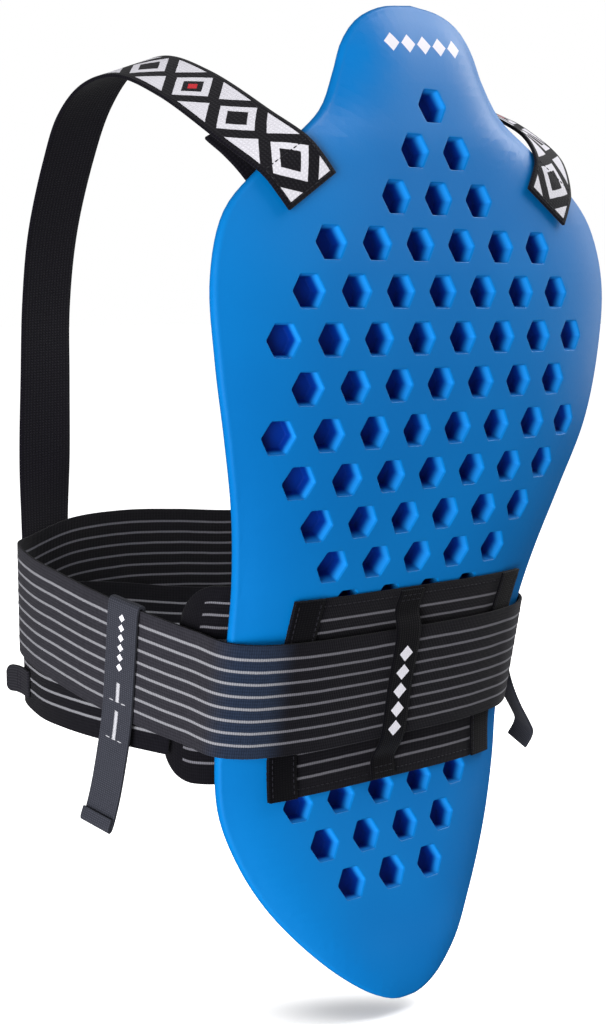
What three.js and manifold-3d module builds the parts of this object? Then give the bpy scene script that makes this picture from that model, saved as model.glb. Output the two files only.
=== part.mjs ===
// Back protector for skiing: a moulded foam pad with blind hexagonal pockets, worn on the back and held
// by a striped elastic waist belt and two shoulder straps.
// Millimetres. +Z is up, +Y points from the pad to the wearer, and +X to the wearer's right. The origin is
// on the pad's inner face, on the centre line, where the pad sits on the wearer's back.
import * as THREE from 'three';
import { mergeVertices } from 'three/addons/utils/BufferGeometryUtils.js';
import Module from 'manifold-3d';

const wasm = await Module();
wasm.setup();

// Pad sections from the top of the neck tab to the tip of the tail. half is half the width, face and edge
// are the outer face's Y at the centre line and at the rim, and thick is the foam at the centre line.
const PAD_SECTIONS = [
  { z: 255, half: 0, face: -8, edge: -8, thick: 5.5 },
  { z: 252.5, half: 18, face: -9.5, edge: -7.5, thick: 7 },
  { z: 246, half: 32, face: -13, edge: -7, thick: 9 },
  { z: 235, half: 41.5, face: -17.5, edge: -7, thick: 11.5 },
  { z: 220, half: 48, face: -21.3, edge: -8.5, thick: 14 },
  { z: 203, half: 58, face: -24.3, edge: -12.5, thick: 16.5 },
  { z: 188, half: 77, face: -26.5, edge: -17.6, thick: 18 },
  { z: 172, half: 99.5, face: -28, edge: -19.3, thick: 19 },
  { z: 152, half: 119, face: -30, edge: -19.9, thick: 20 },
  { z: 122, half: 127.5, face: -32.7, edge: -21.8, thick: 20 },
  { z: 86, half: 125.2, face: -32.9, edge: -22, thick: 20 },
  { z: 50, half: 118.5, face: -29.9, edge: -19.5, thick: 20 },
  { z: 15, half: 109, face: -23.6, edge: -11, thick: 20 },
  { z: -20, half: 101.5, face: -14.2, edge: -0.3, thick: 20 },
  { z: -50, half: 98, face: -3.3, edge: 8.5, thick: 20 },
  { z: -82, half: 96.6, face: 8, edge: 15.9, thick: 20 },
  { z: -112, half: 96.2, face: 12, edge: 21.5, thick: 20 },
  { z: -140, half: 94, face: 10, edge: 21.7, thick: 20 },
  { z: -166, half: 85.5, face: 4.8, edge: 17.4, thick: 18.5 },
  { z: -188, half: 73.8, face: -0.5, edge: 11.6, thick: 16 },
  { z: -207, half: 59.5, face: -5.3, edge: 4.3, thick: 13 },
  { z: -223.5, half: 43.8, face: -10.5, edge: -3.8, thick: 10.5 },
  { z: -236, half: 28, face: -13, edge: -8.8, thick: 8 },
  { z: -242.6, half: 16.3, face: -13, edge: -11, thick: 6.8 },
  { z: -245.8, half: 7.3, face: -12.7, edge: -12, thick: 5.8 },
  { z: -246.3, half: 0, face: -12.3, edge: -12.3, thick: 5.5 },
];
const RIM_THICKNESS = 5;
const FACE_POWER = 4;
const FOAM_POWER = 3;
const PAD_STEPS_PER_SECTION = 2;
const PAD_COLUMNS = [-1, -0.95, -0.86, -0.74, -0.58, -0.38, 0, 0.38, 0.58, 0.74, 0.86, 0.95, 1];

// Blind hexagonal pockets. Rows are a step apart along the face, and each row is centred. The rows under
// the lumbar panel are left plain and are a little closer.
const POCKET_COUNTS = [1, 2, 3, 6, 7, 8, 7, 8, 7, 6, 5, 4, 0, 0, 0, 0, 5, 4, 3];
const POCKET_FIRST_Z = 206;
const POCKET_ROW_STEP = 22.15;
const POCKET_PLAIN_STEP = 21.45;
const POCKET_PITCH = 27;
const POCKET_RIM_RADIUS = 9;
const POCKET_FLOOR_RADIUS = 6.7;
const POCKET_DEPTH_SHARE = 0.55;
const POCKET_OVERCUT = 4;

// Webbing and elastic
const GAP = 0.4;
const PAD_GAP = 0.55;
const PANEL_THICKNESS = 1.2;
const BINDING_THICKNESS = 0.9;
const BELT_THICKNESS = 1.8;
const STRAP_THICKNESS = 1.8;
const KIDNEY_THICKNESS = 2;
const BINDING_LIFT = PAD_GAP + PANEL_THICKNESS + GAP;
const BELT_LIFT = BINDING_LIFT + BINDING_THICKNESS + GAP;

// Lumbar panel with its two side bindings and the strip that keeps the belt
const PANEL_LEFT = -72;
const PANEL_RIGHT = 82;
const PANEL_TOP = -29;
const PANEL_BOTTOM = -134;
const PANEL_COLUMNS = 18;
const PANEL_ROWS = 9;
const BINDING_WIDTH = 16;
const BINDING_COLUMNS = 2;
const KEEPER_WIDTH = 16;
const KEEPER_UPPER_RAMP = 9;
const KEEPER_LOWER_RAMP = 13;
const KEEPER_INSET = 1;

// Waist belt: a strip that leans with the pad's lumbar face, stands upright at the wearer's front and rises
// towards it. Beyond the pad's rim its inner face follows these points on the wearer's right side, mirrored
// to the left, and then the points of its front. raise is the top edge's height over the steady rise.
const BELT_HEIGHT = 60;
const BELT_LEAN_AT_PAD = 0.21;
const BELT_UPRIGHT_Y = 170;
const BELT_RISE = 0.178;
const BELT_TOP_AT_PAD = -48;
const BELT_REFERENCE_Y = 8;
const BELT_LOOP_STEPS = 124;
const BELT_LEFT_SPAN = { from: 0.52, to: 0.9 };
const BELT_PAD_X = [0, 25, 50, 72, 88];
const BELT_SIDE = [
  { x: 99.6, y: 9, raise: 0 },
  { x: 104, y: 25, raise: 0 },
  { x: 110, y: 45, raise: 0 },
  { x: 116, y: 70, raise: 0 },
  { x: 120.5, y: 98, raise: 0 },
  { x: 122.8, y: 126, raise: 0 },
  { x: 122.2, y: 155, raise: -1 },
  { x: 117.5, y: 178, raise: -0.5 },
  { x: 104, y: 190, raise: -1.5 },
];
const BELT_FRONT = [
  { x: 75, y: 195.2, raise: -1.5 },
  { x: 38, y: 197.5, raise: -0.5 },
  { x: 0, y: 198.5, raise: 3 },
  { x: -38, y: 198, raise: 5.5 },
  { x: -75, y: 195.5, raise: 4.5 },
];

// The closing end, inside the belt from the wearer's front round to the left. It starts at a share of the way
// round the loop, and its drop below the belt's top edge is given at even steps from there to its back end.
const CLOSURE_FRONT_SHARE = 0.44;
const CLOSURE_BACK_Y = 37;
const CLOSURE_STEPS = 26;
const CLOSURE_DROPS = [48, 47, 40, 30, 26, 18, 10];
const PULL_TAB_LENGTH = 24;
const PULL_TAB_HEIGHT = 15;
const PULL_TAB_STEPS = 4;
const PULL_TAB_BACK_Y = 163;
const PULL_TAB_DROP = 6;
const PULL_TAB_FLARE = 3;
const PULL_TAB_SAG = 5;

// Kidney panel behind the pad
const KIDNEY_TOP = -22;
const KIDNEY_BOTTOM = -125;
const KIDNEY_CORNER = 20;
const KIDNEY_ROUNDING = 0.96;
const KIDNEY_ROWS = 8;
const KIDNEY_PAD_X = [0, 18, 36, 54, 70, 82];
const KIDNEY_WING = [
  { x: 92, forward: 2.5 },
  { x: 98.5, forward: 9 },
  { x: 102, forward: 18 },
  { x: 103.5, forward: 25 },
  { x: 104.2, forward: 30 },
];

// Shoulder strap of the wearer's left: its centre line from the pad's face over the shoulder to the belt,
// with the direction of its width. The right strap is its mirror image, but lies flatter over the shoulder.
const STRAP_WIDTH = 32;
const STRAP_COLUMNS = 4;
const STRAP_STEPS = 44;
const STRAP_ON_PAD = {
  left: [
    { x: -77, z: 162 },
    { x: -82, z: 169.5 },
    { x: -87, z: 177 },
  ],
  right: [
    { x: -74.5, z: 160.5 },
    { x: -79.5, z: 168 },
    { x: -84.5, z: 175.5 },
  ],
};
const STRAP_PAD_LIFT = 0.9;
const STRAP_PAD_WIDTH_DIRECTION = { x: 0.84, z: 0.54 };
const STRAP_SHOULDER = {
  left: [
    { x: -95, y: -3, z: 191, wx: 0.87, wy: 0, wz: 0.49 },
    { x: -101, y: 38, z: 214, wx: 0.91, wy: 0, wz: 0.41 },
  ],
  right: [
    { x: -92, y: -9, z: 191.2, wx: 0.92, wy: 0, wz: 0.38 },
    { x: -97.5, y: 20, z: 206.8, wx: 0.97, wy: 0, wz: 0.24 },
    { x: -101.5, y: 45, z: 217.5, wx: 0.97, wy: 0, wz: 0.25 },
  ],
};
const STRAP_ROUTE = [
  { x: -104, y: 71, z: 225, wx: 0.93, wy: 0, wz: 0.36 },
  { x: -105, y: 99, z: 222, wx: 0.95, wy: 0, wz: 0.3 },
  { x: -105, y: 122, z: 208, wx: 0.97, wy: 0, wz: 0.22 },
  { x: -103, y: 141, z: 187, wx: 0.98, wy: 0.09, wz: 0.12 },
  { x: -100, y: 165, z: 149, wx: 0.98, wy: 0.13, wz: 0.05 },
  { x: -97.5, y: 178, z: 111, wx: 0.98, wy: 0.15, wz: 0 },
  { x: -96, y: 183.5, z: 70, wx: 0.99, wy: 0.09, wz: 0 },
  { x: -94.5, y: 188.5, z: 30, wx: 1, wy: 0.03, wz: 0 },
  { x: -91.5, y: 195.1, z: -4, wx: 0.99, wy: 0.12, wz: 0 },
  { x: -91.5, y: 195.65, z: -34, wx: 0.98, wy: 0.18, wz: 0 },
  { x: -91.5, y: 195.65, z: -64, wx: 0.98, wy: 0.18, wz: 0 },
];

// The strap's second layer, which leaves its underside and goes behind the pad's rim
const UNDER_TAB_WIDTH = 30;
const UNDER_TAB_STEPS = 12;
const UNDER_TAB_ROUTE = [
  { x: -96.6, y: 7.8, z: 194.4 },
  { x: -94, y: -2, z: 187 },
  { x: -90, y: -8.6, z: 179 },
];
const UNDER_TAB_ON_PAD = [
  { x: -84, z: 170 },
  { x: -77, z: 160 },
];
const UNDER_TAB_LIFT = 1.4;

// Connector straps over the belt: out is the distance from the belt's inner face and up the height above
// its top edge, with the strap's thickness there
const CONNECTOR_WIDTH = 21;
const CONNECTOR_LEFT_Y = 70;
const CONNECTOR_RIGHT_Y = 27;
const CONNECTOR_LEFT = [
  { out: -1.2, up: -9, thick: 1.4 },
  { out: -1.2, up: -0.5, thick: 1.4 },
  { out: -0.5, up: 1.4, thick: 1.4 },
  { out: 2.3, up: 1.4, thick: 1.4 },
  { out: 3, up: -0.5, thick: 1.4 },
  { out: 3, up: -30, thick: 1.4 },
  { out: 3.1, up: -61, thick: 1.4 },
  { out: 5, up: -80, thick: 1.4 },
  { out: 10.4, up: -107, thick: 1.4 },
  { out: 11, up: -108.8, thick: 3.2 },
  { out: 13, up: -115, thick: 3.2 },
];
const CONNECTOR_RIGHT = [
  { out: -1.6, up: -9, thick: 1.4 },
  { out: -1.6, up: -0.5, thick: 1.4 },
  { out: -0.7, up: 1.5, thick: 1.4 },
  { out: 2.7, up: 1.5, thick: 1.4 },
  { out: 3.5, up: -0.5, thick: 1.4 },
  { out: 3.6, up: -28, thick: 1.4 },
  { out: 5.5, up: -43, thick: 1.4 },
  { out: 11, up: -57, thick: 1.4 },
  { out: 18.5, up: -70, thick: 1.4 },
  { out: 28, up: -83.5, thick: 1.4 },
  { out: 30.6, up: -88, thick: 1.8 },
  { out: 30.4, up: -91.8, thick: 2.6 },
  { out: 27.6, up: -98.5, thick: 2.6 },
];

// Colours
const FOAM_BLUE = 0x0a6cc4;
const ELASTIC_BLACK = 0x1b1a1f;
const WEBBING_BLACK = 0x131217;
const CONNECTOR_GREY = 0x37363b;

const WORLD_Y = new THREE.Vector3(0, 1, 0);

// Closed solid between two like grids of points, front[row][column] and back[row][column]. A looped slab
// joins its last row to its first.
function slab(front, back, looped = false) {
  const rows = front.length;
  const columns = front[0].length;
  const positions = [];
  const index = [];
  for (const grid of [front, back]) {
    for (const row of grid) {
      for (const point of row) positions.push(point.x, point.y, point.z);
    }
  }
  const at = (layer, row, column) => (layer * rows + (row % rows)) * columns + column;
  const quad = (a, b, c, d) => index.push(a, b, c, a, c, d);
  const lastRow = looped ? rows : rows - 1;
  for (let r = 0; r < lastRow; r++) {
    for (let c = 0; c < columns - 1; c++) {
      quad(at(0, r, c), at(0, r, c + 1), at(0, r + 1, c + 1), at(0, r + 1, c));
      quad(at(1, r, c), at(1, r + 1, c), at(1, r + 1, c + 1), at(1, r, c + 1));
    }
    quad(at(0, r, 0), at(0, r + 1, 0), at(1, r + 1, 0), at(1, r, 0));
    quad(at(0, r, columns - 1), at(1, r, columns - 1), at(1, r + 1, columns - 1), at(0, r + 1, columns - 1));
  }
  if (!looped) {
    for (let c = 0; c < columns - 1; c++) {
      quad(at(0, 0, c), at(1, 0, c), at(1, 0, c + 1), at(0, 0, c + 1));
      quad(at(0, rows - 1, c), at(0, rows - 1, c + 1), at(1, rows - 1, c + 1), at(1, rows - 1, c));
    }
  }
  return closedGeometry(positions, index);
}

// Geometry with shared vertices, no collapsed triangles, and its faces pointing out
function closedGeometry(positions, index) {
  const loose = new THREE.BufferGeometry();
  loose.setAttribute('position', new THREE.Float32BufferAttribute(positions, 3));
  loose.setIndex(index);
  const merged = mergeVertices(loose, 1e-3);
  const position = merged.attributes.position;
  const [a, b, c] = [new THREE.Vector3(), new THREE.Vector3(), new THREE.Vector3()];
  const kept = [];
  let volume = 0;
  for (let i = 0; i < merged.index.count; i += 3) {
    const corners = [0, 1, 2].map((k) => merged.index.getX(i + k));
    if (new Set(corners).size < 3) continue;
    kept.push(...corners);
    a.fromBufferAttribute(position, corners[0]);
    b.fromBufferAttribute(position, corners[1]);
    c.fromBufferAttribute(position, corners[2]);
    volume += a.dot(b.cross(c));
  }
  if (volume < 0) kept.reverse();
  merged.setIndex(kept);
  return merged;
}

// Booleans between closed geometries
function toSolid(geometry) {
  const bare = geometry.clone();
  bare.deleteAttribute('normal');
  bare.deleteAttribute('uv');
  const merged = mergeVertices(bare, 1e-4);
  return new wasm.Manifold(new wasm.Mesh({
    numProp: 3,
    vertProperties: new Float32Array(merged.attributes.position.array),
    triVerts: new Uint32Array(merged.index.array),
  }));
}

function fromSolid(solid) {
  const mesh = solid.getMesh();
  const geometry = new THREE.BufferGeometry();
  geometry.setAttribute('position', new THREE.BufferAttribute(mesh.vertProperties, 3));
  geometry.setIndex(new THREE.BufferAttribute(mesh.triVerts, 1));
  return geometry;
}

function mirrored(geometry) {
  const position = geometry.attributes.position;
  const points = [];
  for (let i = 0; i < position.count; i++) points.push(-position.getX(i), position.getY(i), position.getZ(i));
  return closedGeometry(points, Array.from(geometry.index.array));
}

// The pad's surfaces
const faceCurve = new THREE.CatmullRomCurve3(
  PAD_SECTIONS.map((s) => new THREE.Vector3(s.half, s.face, s.z)), false, 'catmullrom', 0.5);
const rimCurve = new THREE.CatmullRomCurve3(
  PAD_SECTIONS.map((s) => new THREE.Vector3(s.thick, s.edge, s.z)), false, 'catmullrom', 0.5);

function padSection(t) {
  const face = faceCurve.getPoint(t);
  const rim = rimCurve.getPoint(t);
  return { half: face.x, face: face.y, z: face.z, thick: rim.x, edge: rim.y };
}

function padSectionAt(z) {
  let low = 0;
  let high = 1;
  for (let i = 0; i < 40; i++) {
    const middle = (low + high) / 2;
    if (faceCurve.getPoint(middle).z > z) low = middle;
    else high = middle;
  }
  return padSection(low);
}

function outerY(section, u) {
  return section.face + (section.edge - section.face) * Math.abs(u) ** FACE_POWER;
}

function innerY(section, u) {
  const foam = RIM_THICKNESS + (section.thick - RIM_THICKNESS) * (1 - Math.abs(u) ** FOAM_POWER);
  return outerY(section, u) + foam;
}

function padOuter(x, z) {
  const section = padSectionAt(z);
  return outerY(section, Math.min(1, Math.abs(x) / section.half));
}

function padInner(x, z) {
  const section = padSectionAt(z);
  return innerY(section, Math.min(1, Math.abs(x) / section.half));
}

// Unit normal of the outer face, pointing away from the wearer
function padNormal(x, z) {
  const step = 1;
  const slopeX = (padOuter(x + step, z) - padOuter(x - step, z)) / (2 * step);
  const slopeZ = (padOuter(x, z + step) - padOuter(x, z - step)) / (2 * step);
  return new THREE.Vector3(slopeX, -1, slopeZ).normalize();
}

function padBlank() {
  const steps = (PAD_SECTIONS.length - 1) * PAD_STEPS_PER_SECTION;
  const front = [];
  const back = [];
  for (let i = 0; i <= steps; i++) {
    const section = padSection(i / steps);
    front.push(PAD_COLUMNS.map((u) => new THREE.Vector3(u * section.half, outerY(section, u), section.z)));
    back.push(PAD_COLUMNS.map((u) => new THREE.Vector3(u * section.half, innerY(section, u), section.z)));
  }
  return slab(front, back);
}

// Pocket centres, stepped down the centre line of the face
function pocketCentres() {
  const centres = [];
  let z = POCKET_FIRST_Z;
  for (const count of POCKET_COUNTS) {
    for (let k = 0; k < count; k++) centres.push({ x: (k - (count - 1) / 2) * POCKET_PITCH, z });
    const step = count > 0 ? POCKET_ROW_STEP : POCKET_PLAIN_STEP;
    const slope = padOuter(0, z - step / 2 + 1) - padOuter(0, z - step / 2 - 1);
    z -= step / Math.hypot(1, slope / 2);
  }
  return centres;
}

function pocketCutter({ x, z }) {
  const inward = padNormal(x, z).negate();
  const depth = POCKET_DEPTH_SHARE * (padInner(x, z) - padOuter(x, z));
  const taper = (POCKET_RIM_RADIUS - POCKET_FLOOR_RADIUS) / depth;
  const mouth = POCKET_RIM_RADIUS + taper * POCKET_OVERCUT;
  const length = depth + POCKET_OVERCUT;
  const cutter = new THREE.CylinderGeometry(POCKET_FLOOR_RADIUS, mouth, length, 6);
  cutter.translate(0, depth - length / 2, 0);
  cutter.applyQuaternion(new THREE.Quaternion().setFromUnitVectors(WORLD_Y, inward));
  cutter.translate(x, padOuter(x, z), z);
  return cutter;
}

function padGeometry() {
  let solid = toSolid(padBlank());
  for (const centre of pocketCentres()) solid = solid.subtract(toSolid(pocketCutter(centre)));
  return fromSolid(solid);
}

// A sheet that lies on the pad's outer face, lifted off it
function sheetOnFace(xFrom, xTo, columns, lift, thickness) {
  const front = [];
  const back = [];
  for (let r = 0; r <= PANEL_ROWS; r++) {
    const z = THREE.MathUtils.lerp(PANEL_TOP, PANEL_BOTTOM, r / PANEL_ROWS);
    const xs = Array.from({ length: columns + 1 }, (_, c) => THREE.MathUtils.lerp(xFrom, xTo, c / columns));
    front.push(xs.map((x) => new THREE.Vector3(x, padOuter(x, z) - lift - thickness, z)));
    back.push(xs.map((x) => new THREE.Vector3(x, padOuter(x, z) - lift, z)));
  }
  return slab(front, back);
}

function bindingGeometry(xFrom, xTo) {
  return sheetOnFace(xFrom, xTo, BINDING_COLUMNS, BINDING_LIFT, BINDING_THICKNESS);
}

// The belt's loop
function beltTop(y) {
  return BELT_TOP_AT_PAD + BELT_RISE * (y - BELT_REFERENCE_Y);
}

// Direction of the belt's height
function beltUp(y) {
  const lean = BELT_LEAN_AT_PAD * (1 - THREE.MathUtils.smoothstep(y, BELT_REFERENCE_Y, BELT_UPRIGHT_Y));
  return new THREE.Vector3(0, -lean, 1).normalize();
}

function beltPoint(x, y, raise) {
  return new THREE.Vector3(x, y, beltTop(y) + raise);
}

function beltLoop() {
  const onPad = BELT_PAD_X.map((x) => beltPoint(x, padOuter(x, BELT_TOP_AT_PAD) - BELT_LIFT, 0));
  const side = BELT_SIDE.map(({ x, y, raise }) => beltPoint(x, y, raise));
  const front = BELT_FRONT.map(({ x, y, raise }) => beltPoint(x, y, raise));
  const right = [...onPad, ...side];
  const left = right.slice(1).reverse().map((p) => new THREE.Vector3(-p.x, p.y, p.z));
  return new THREE.CatmullRomCurve3([...right, ...front, ...left], true, 'centripetal');
}

const loop = beltLoop();

function beltFrame(s) {
  const point = loop.getPointAt(s);
  const tangent = loop.getTangentAt(s);
  const up = beltUp(point.y);
  const out = new THREE.Vector3().crossVectors(tangent, up).normalize();
  return { point, out, up, tangent };
}

// The place on the loop's left side where it passes a given Y, searched from the front to the back
function beltLeftAt(y) {
  let low = BELT_LEFT_SPAN.from;
  let high = BELT_LEFT_SPAN.to;
  for (let i = 0; i < 40; i++) {
    const middle = (low + high) / 2;
    if (loop.getPointAt(middle).y > y) low = middle;
    else high = middle;
  }
  return low;
}

function offsetPoint(frame, out, up) {
  return frame.point.clone().addScaledVector(frame.out, out).addScaledVector(frame.up, up);
}

function beltGeometry() {
  const front = [];
  const back = [];
  for (let i = 0; i < BELT_LOOP_STEPS; i++) {
    const frame = beltFrame(i / BELT_LOOP_STEPS);
    front.push([0, -BELT_HEIGHT].map((up) => offsetPoint(frame, BELT_THICKNESS, up)));
    back.push([0, -BELT_HEIGHT].map((up) => offsetPoint(frame, 0, up)));
  }
  return slab(front, back, true);
}

function closureGeometry() {
  const back = beltLeftAt(CLOSURE_BACK_Y);
  const drops = new THREE.CatmullRomCurve3(
    CLOSURE_DROPS.map((drop, i) => new THREE.Vector3(i, drop, 0)), false, 'catmullrom', 0.5);
  const outer = [];
  const inner = [];
  for (let i = 0; i <= CLOSURE_STEPS; i++) {
    const share = i / CLOSURE_STEPS;
    const frame = beltFrame(THREE.MathUtils.lerp(CLOSURE_FRONT_SHARE, back, share));
    const drop = drops.getPoint(share).y;
    const heights = [-drop, -drop - BELT_HEIGHT];
    outer.push(heights.map((up) => offsetPoint(frame, -GAP, up)));
    inner.push(heights.map((up) => offsetPoint(frame, -GAP - BELT_THICKNESS, up)));
  }
  return slab(outer, inner);
}

// The tab runs straight on under the belt's lower edge where the belt turns to the front
function pullTabGeometry() {
  const frame = beltFrame(beltLeftAt(PULL_TAB_BACK_Y));
  const along = frame.tangent.clone().negate();
  const top = -BELT_HEIGHT - PULL_TAB_DROP;
  const front = [];
  const back = [];
  for (let i = 0; i <= PULL_TAB_STEPS; i++) {
    const share = i / PULL_TAB_STEPS;
    const flare = PULL_TAB_FLARE * share * share;
    const start = frame.point.clone().addScaledVector(along, PULL_TAB_LENGTH * share);
    const bent = { ...frame, point: start };
    const upper = top - PULL_TAB_SAG * share * share;
    const heights = [upper, upper - PULL_TAB_HEIGHT];
    front.push(heights.map((up) => offsetPoint(bent, flare + BELT_THICKNESS, up)));
    back.push(heights.map((up) => offsetPoint(bent, flare, up)));
  }
  return slab(front, back);
}

// Strip at the centre that passes over the belt and lies on the panel above and below it
function keeperGeometry() {
  const front = [];
  const back = [];
  const beltFace = padOuter(0, BELT_TOP_AT_PAD) - BELT_LIFT - BELT_THICKNESS - GAP;
  const top = beltTop(beltFace);
  const bottom = top - BELT_HEIGHT * beltUp(beltFace).z;
  const overBelt = (z) => beltFace + (top - z) * BELT_LEAN_AT_PAD;
  const onPanel = (z) => padOuter(0, z) - BINDING_LIFT;
  const path = [
    { z: PANEL_TOP - KEEPER_INSET, height: onPanel },
    { z: top + KEEPER_UPPER_RAMP, height: onPanel },
    { z: top + KEEPER_INSET, height: overBelt },
    { z: (top + bottom) / 2, height: overBelt },
    { z: bottom - KEEPER_INSET, height: overBelt },
    { z: bottom - KEEPER_LOWER_RAMP, height: onPanel },
    { z: PANEL_BOTTOM + KEEPER_INSET, height: onPanel },
  ];
  for (const { z, height } of path) {
    const y = height(z);
    const xs = [-KEEPER_WIDTH / 2, KEEPER_WIDTH / 2];
    front.push(xs.map((x) => new THREE.Vector3(x, y - PANEL_THICKNESS, z)));
    back.push(xs.map((x) => new THREE.Vector3(x, y, z)));
  }
  return slab(front, back);
}

// Panel behind the pad, whose rounded ends turn forward inside the belt
function kidneyGeometry() {
  const half = [
    ...KIDNEY_PAD_X.map((x) => ({ x, y: (z) => padInner(x, z) + PAD_GAP })),
    ...KIDNEY_WING.map(({ x, forward }) => ({
      x, y: (z) => padInner(KIDNEY_PAD_X.at(-1), z) + PAD_GAP + forward,
    })),
  ];
  const columns = [...half.slice(1).reverse().map((c) => ({ ...c, x: -c.x })), ...half];
  const middle = (KIDNEY_TOP + KIDNEY_BOTTOM) / 2;
  const plan = columns.map((c) => new THREE.Vector2(c.x, c.y(middle)));
  const front = [];
  const back = [];
  columns.forEach(({ x, y }, i) => {
    const run = plan[Math.min(plan.length - 1, i + 1)].clone().sub(plan[Math.max(0, i - 1)]).normalize();
    const fromEnd = Math.min(plan[i].distanceTo(plan[0]), plan[i].distanceTo(plan.at(-1)));
    const inCorner = Math.max(0, 1 - fromEnd / KIDNEY_CORNER);
    const trim = KIDNEY_CORNER * (1 - Math.sqrt(1 - KIDNEY_ROUNDING * inCorner * inCorner));
    const zs = Array.from({ length: KIDNEY_ROWS + 1 }, (_, r) =>
      THREE.MathUtils.lerp(KIDNEY_TOP - trim, KIDNEY_BOTTOM + trim, r / KIDNEY_ROWS));
    front.push(zs.map((z) => new THREE.Vector3(x, y(z), z)));
    back.push(zs.map((z) =>
      new THREE.Vector3(x - run.y * KIDNEY_THICKNESS, y(z) + run.x * KIDNEY_THICKNESS, z)));
  });
  return slab(front, back);
}

// A flat ribbon along rows of a place, a width direction and a thickness. Its under face follows the
// places.
function ribbon(rows, width, columns) {
  const front = [];
  const back = [];
  rows.forEach((row, i) => {
    const before = rows[Math.max(0, i - 1)].point;
    const after = rows[Math.min(rows.length - 1, i + 1)].point;
    const tangent = after.clone().sub(before).normalize();
    const across = row.across.clone().addScaledVector(tangent, -row.across.dot(tangent)).normalize();
    const normal = new THREE.Vector3().crossVectors(across, tangent).normalize();
    const offsets = Array.from({ length: columns + 1 }, (_, c) => (c / columns - 0.5) * width);
    const under = offsets.map((o) => row.point.clone().addScaledVector(across, o));
    back.push(under);
    front.push(under.map((p) => p.clone().addScaledVector(normal, row.thick)));
  });
  return slab(front, back);
}

// Rows along a smooth curve through the given rows
function smoothRows(rows, steps, thick) {
  const places = new THREE.CatmullRomCurve3(rows.map((r) => r.point), false, 'centripetal');
  const widths = new THREE.CatmullRomCurve3(rows.map((r) => r.across), false, 'catmullrom', 0.5);
  return Array.from({ length: steps + 1 }, (_, i) => ({
    point: places.getPoint(i / steps),
    across: widths.getPoint(i / steps),
    thick,
  }));
}

function strapRows(side) {
  const onPad = STRAP_ON_PAD[side].map(({ x, z }) => {
    const normal = padNormal(x, z);
    const point = new THREE.Vector3(x, padOuter(x, z), z).addScaledVector(normal, STRAP_PAD_LIFT);
    const flat = new THREE.Vector3(STRAP_PAD_WIDTH_DIRECTION.x, 0, STRAP_PAD_WIDTH_DIRECTION.z);
    return { point, across: flat.addScaledVector(normal, -flat.dot(normal)).normalize() };
  });
  const free = [...STRAP_SHOULDER[side], ...STRAP_ROUTE].map((r) => ({
    point: new THREE.Vector3(r.x, r.y, r.z),
    across: new THREE.Vector3(r.wx, r.wy, r.wz).normalize(),
  }));
  return smoothRows([...onPad, ...free], STRAP_STEPS, STRAP_THICKNESS);
}

function underTabRows() {
  const across = new THREE.Vector3(STRAP_PAD_WIDTH_DIRECTION.x, 0, STRAP_PAD_WIDTH_DIRECTION.z);
  const free = UNDER_TAB_ROUTE.map(({ x, y, z }) => ({
    point: new THREE.Vector3(x, y, z),
    across: across.clone(),
  }));
  const onPad = UNDER_TAB_ON_PAD.map(({ x, z }) => ({
    point: new THREE.Vector3(x, padInner(x, z) + UNDER_TAB_LIFT, z),
    across: across.clone(),
  }));
  return smoothRows([...free, ...onPad], UNDER_TAB_STEPS, STRAP_THICKNESS);
}

// A connector strap in the plane of the belt's height and its outward direction
function connectorGeometry(table, y) {
  const frame = beltFrame(beltLeftAt(y));
  const across = frame.tangent.clone();
  const front = [];
  const back = [];
  table.forEach((row, i) => {
    const before = table[Math.max(0, i - 1)];
    const after = table[Math.min(table.length - 1, i + 1)];
    const run = new THREE.Vector2(after.out - before.out, after.up - before.up).normalize();
    const side = new THREE.Vector2(-run.y, run.x).multiplyScalar(row.thick / 2);
    const ends = [-CONNECTOR_WIDTH / 2, CONNECTOR_WIDTH / 2];
    const place = (sign) => ends.map((o) =>
      offsetPoint(frame, row.out + sign * side.x, row.up + sign * side.y).addScaledVector(across, o));
    front.push(place(1));
    back.push(place(-1));
  });
  return slab(front, back);
}

// Assembly
const group = new THREE.Group();

function addPiece(name, geometry, color, roughness) {
  const material = new THREE.MeshStandardMaterial({ color, roughness, metalness: 0 });
  const mesh = new THREE.Mesh(geometry, material);
  mesh.name = name;
  group.add(mesh);
}

addPiece('pad', padGeometry(), FOAM_BLUE, 0.5);
addPiece('lumbar_panel',
  sheetOnFace(PANEL_LEFT, PANEL_RIGHT, PANEL_COLUMNS, PAD_GAP, PANEL_THICKNESS), ELASTIC_BLACK, 0.9);
addPiece('panel_binding_left', bindingGeometry(PANEL_LEFT, PANEL_LEFT + BINDING_WIDTH), WEBBING_BLACK, 0.9);
addPiece('panel_binding_right',
  bindingGeometry(PANEL_RIGHT - BINDING_WIDTH, PANEL_RIGHT), WEBBING_BLACK, 0.9);
addPiece('belt_keeper', keeperGeometry(), WEBBING_BLACK, 0.9);
addPiece('waist_belt', beltGeometry(), ELASTIC_BLACK, 0.9);
addPiece('belt_closure', closureGeometry(), ELASTIC_BLACK, 0.9);
addPiece('closure_pull_tab', pullTabGeometry(), WEBBING_BLACK, 0.9);
addPiece('kidney_panel', kidneyGeometry(), ELASTIC_BLACK, 0.9);
for (const side of ['left', 'right']) {
  const placed = side === 'right' ? mirrored : (geometry) => geometry;
  addPiece(`shoulder_strap_${side}`,
    placed(ribbon(strapRows(side), STRAP_WIDTH, STRAP_COLUMNS)), WEBBING_BLACK, 0.85);
  addPiece(`strap_under_tab_${side}`,
    placed(ribbon(underTabRows(), UNDER_TAB_WIDTH, STRAP_COLUMNS)), WEBBING_BLACK, 0.9);
}
addPiece('connector_strap_left', connectorGeometry(CONNECTOR_LEFT, CONNECTOR_LEFT_Y), CONNECTOR_GREY, 0.9);
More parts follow.
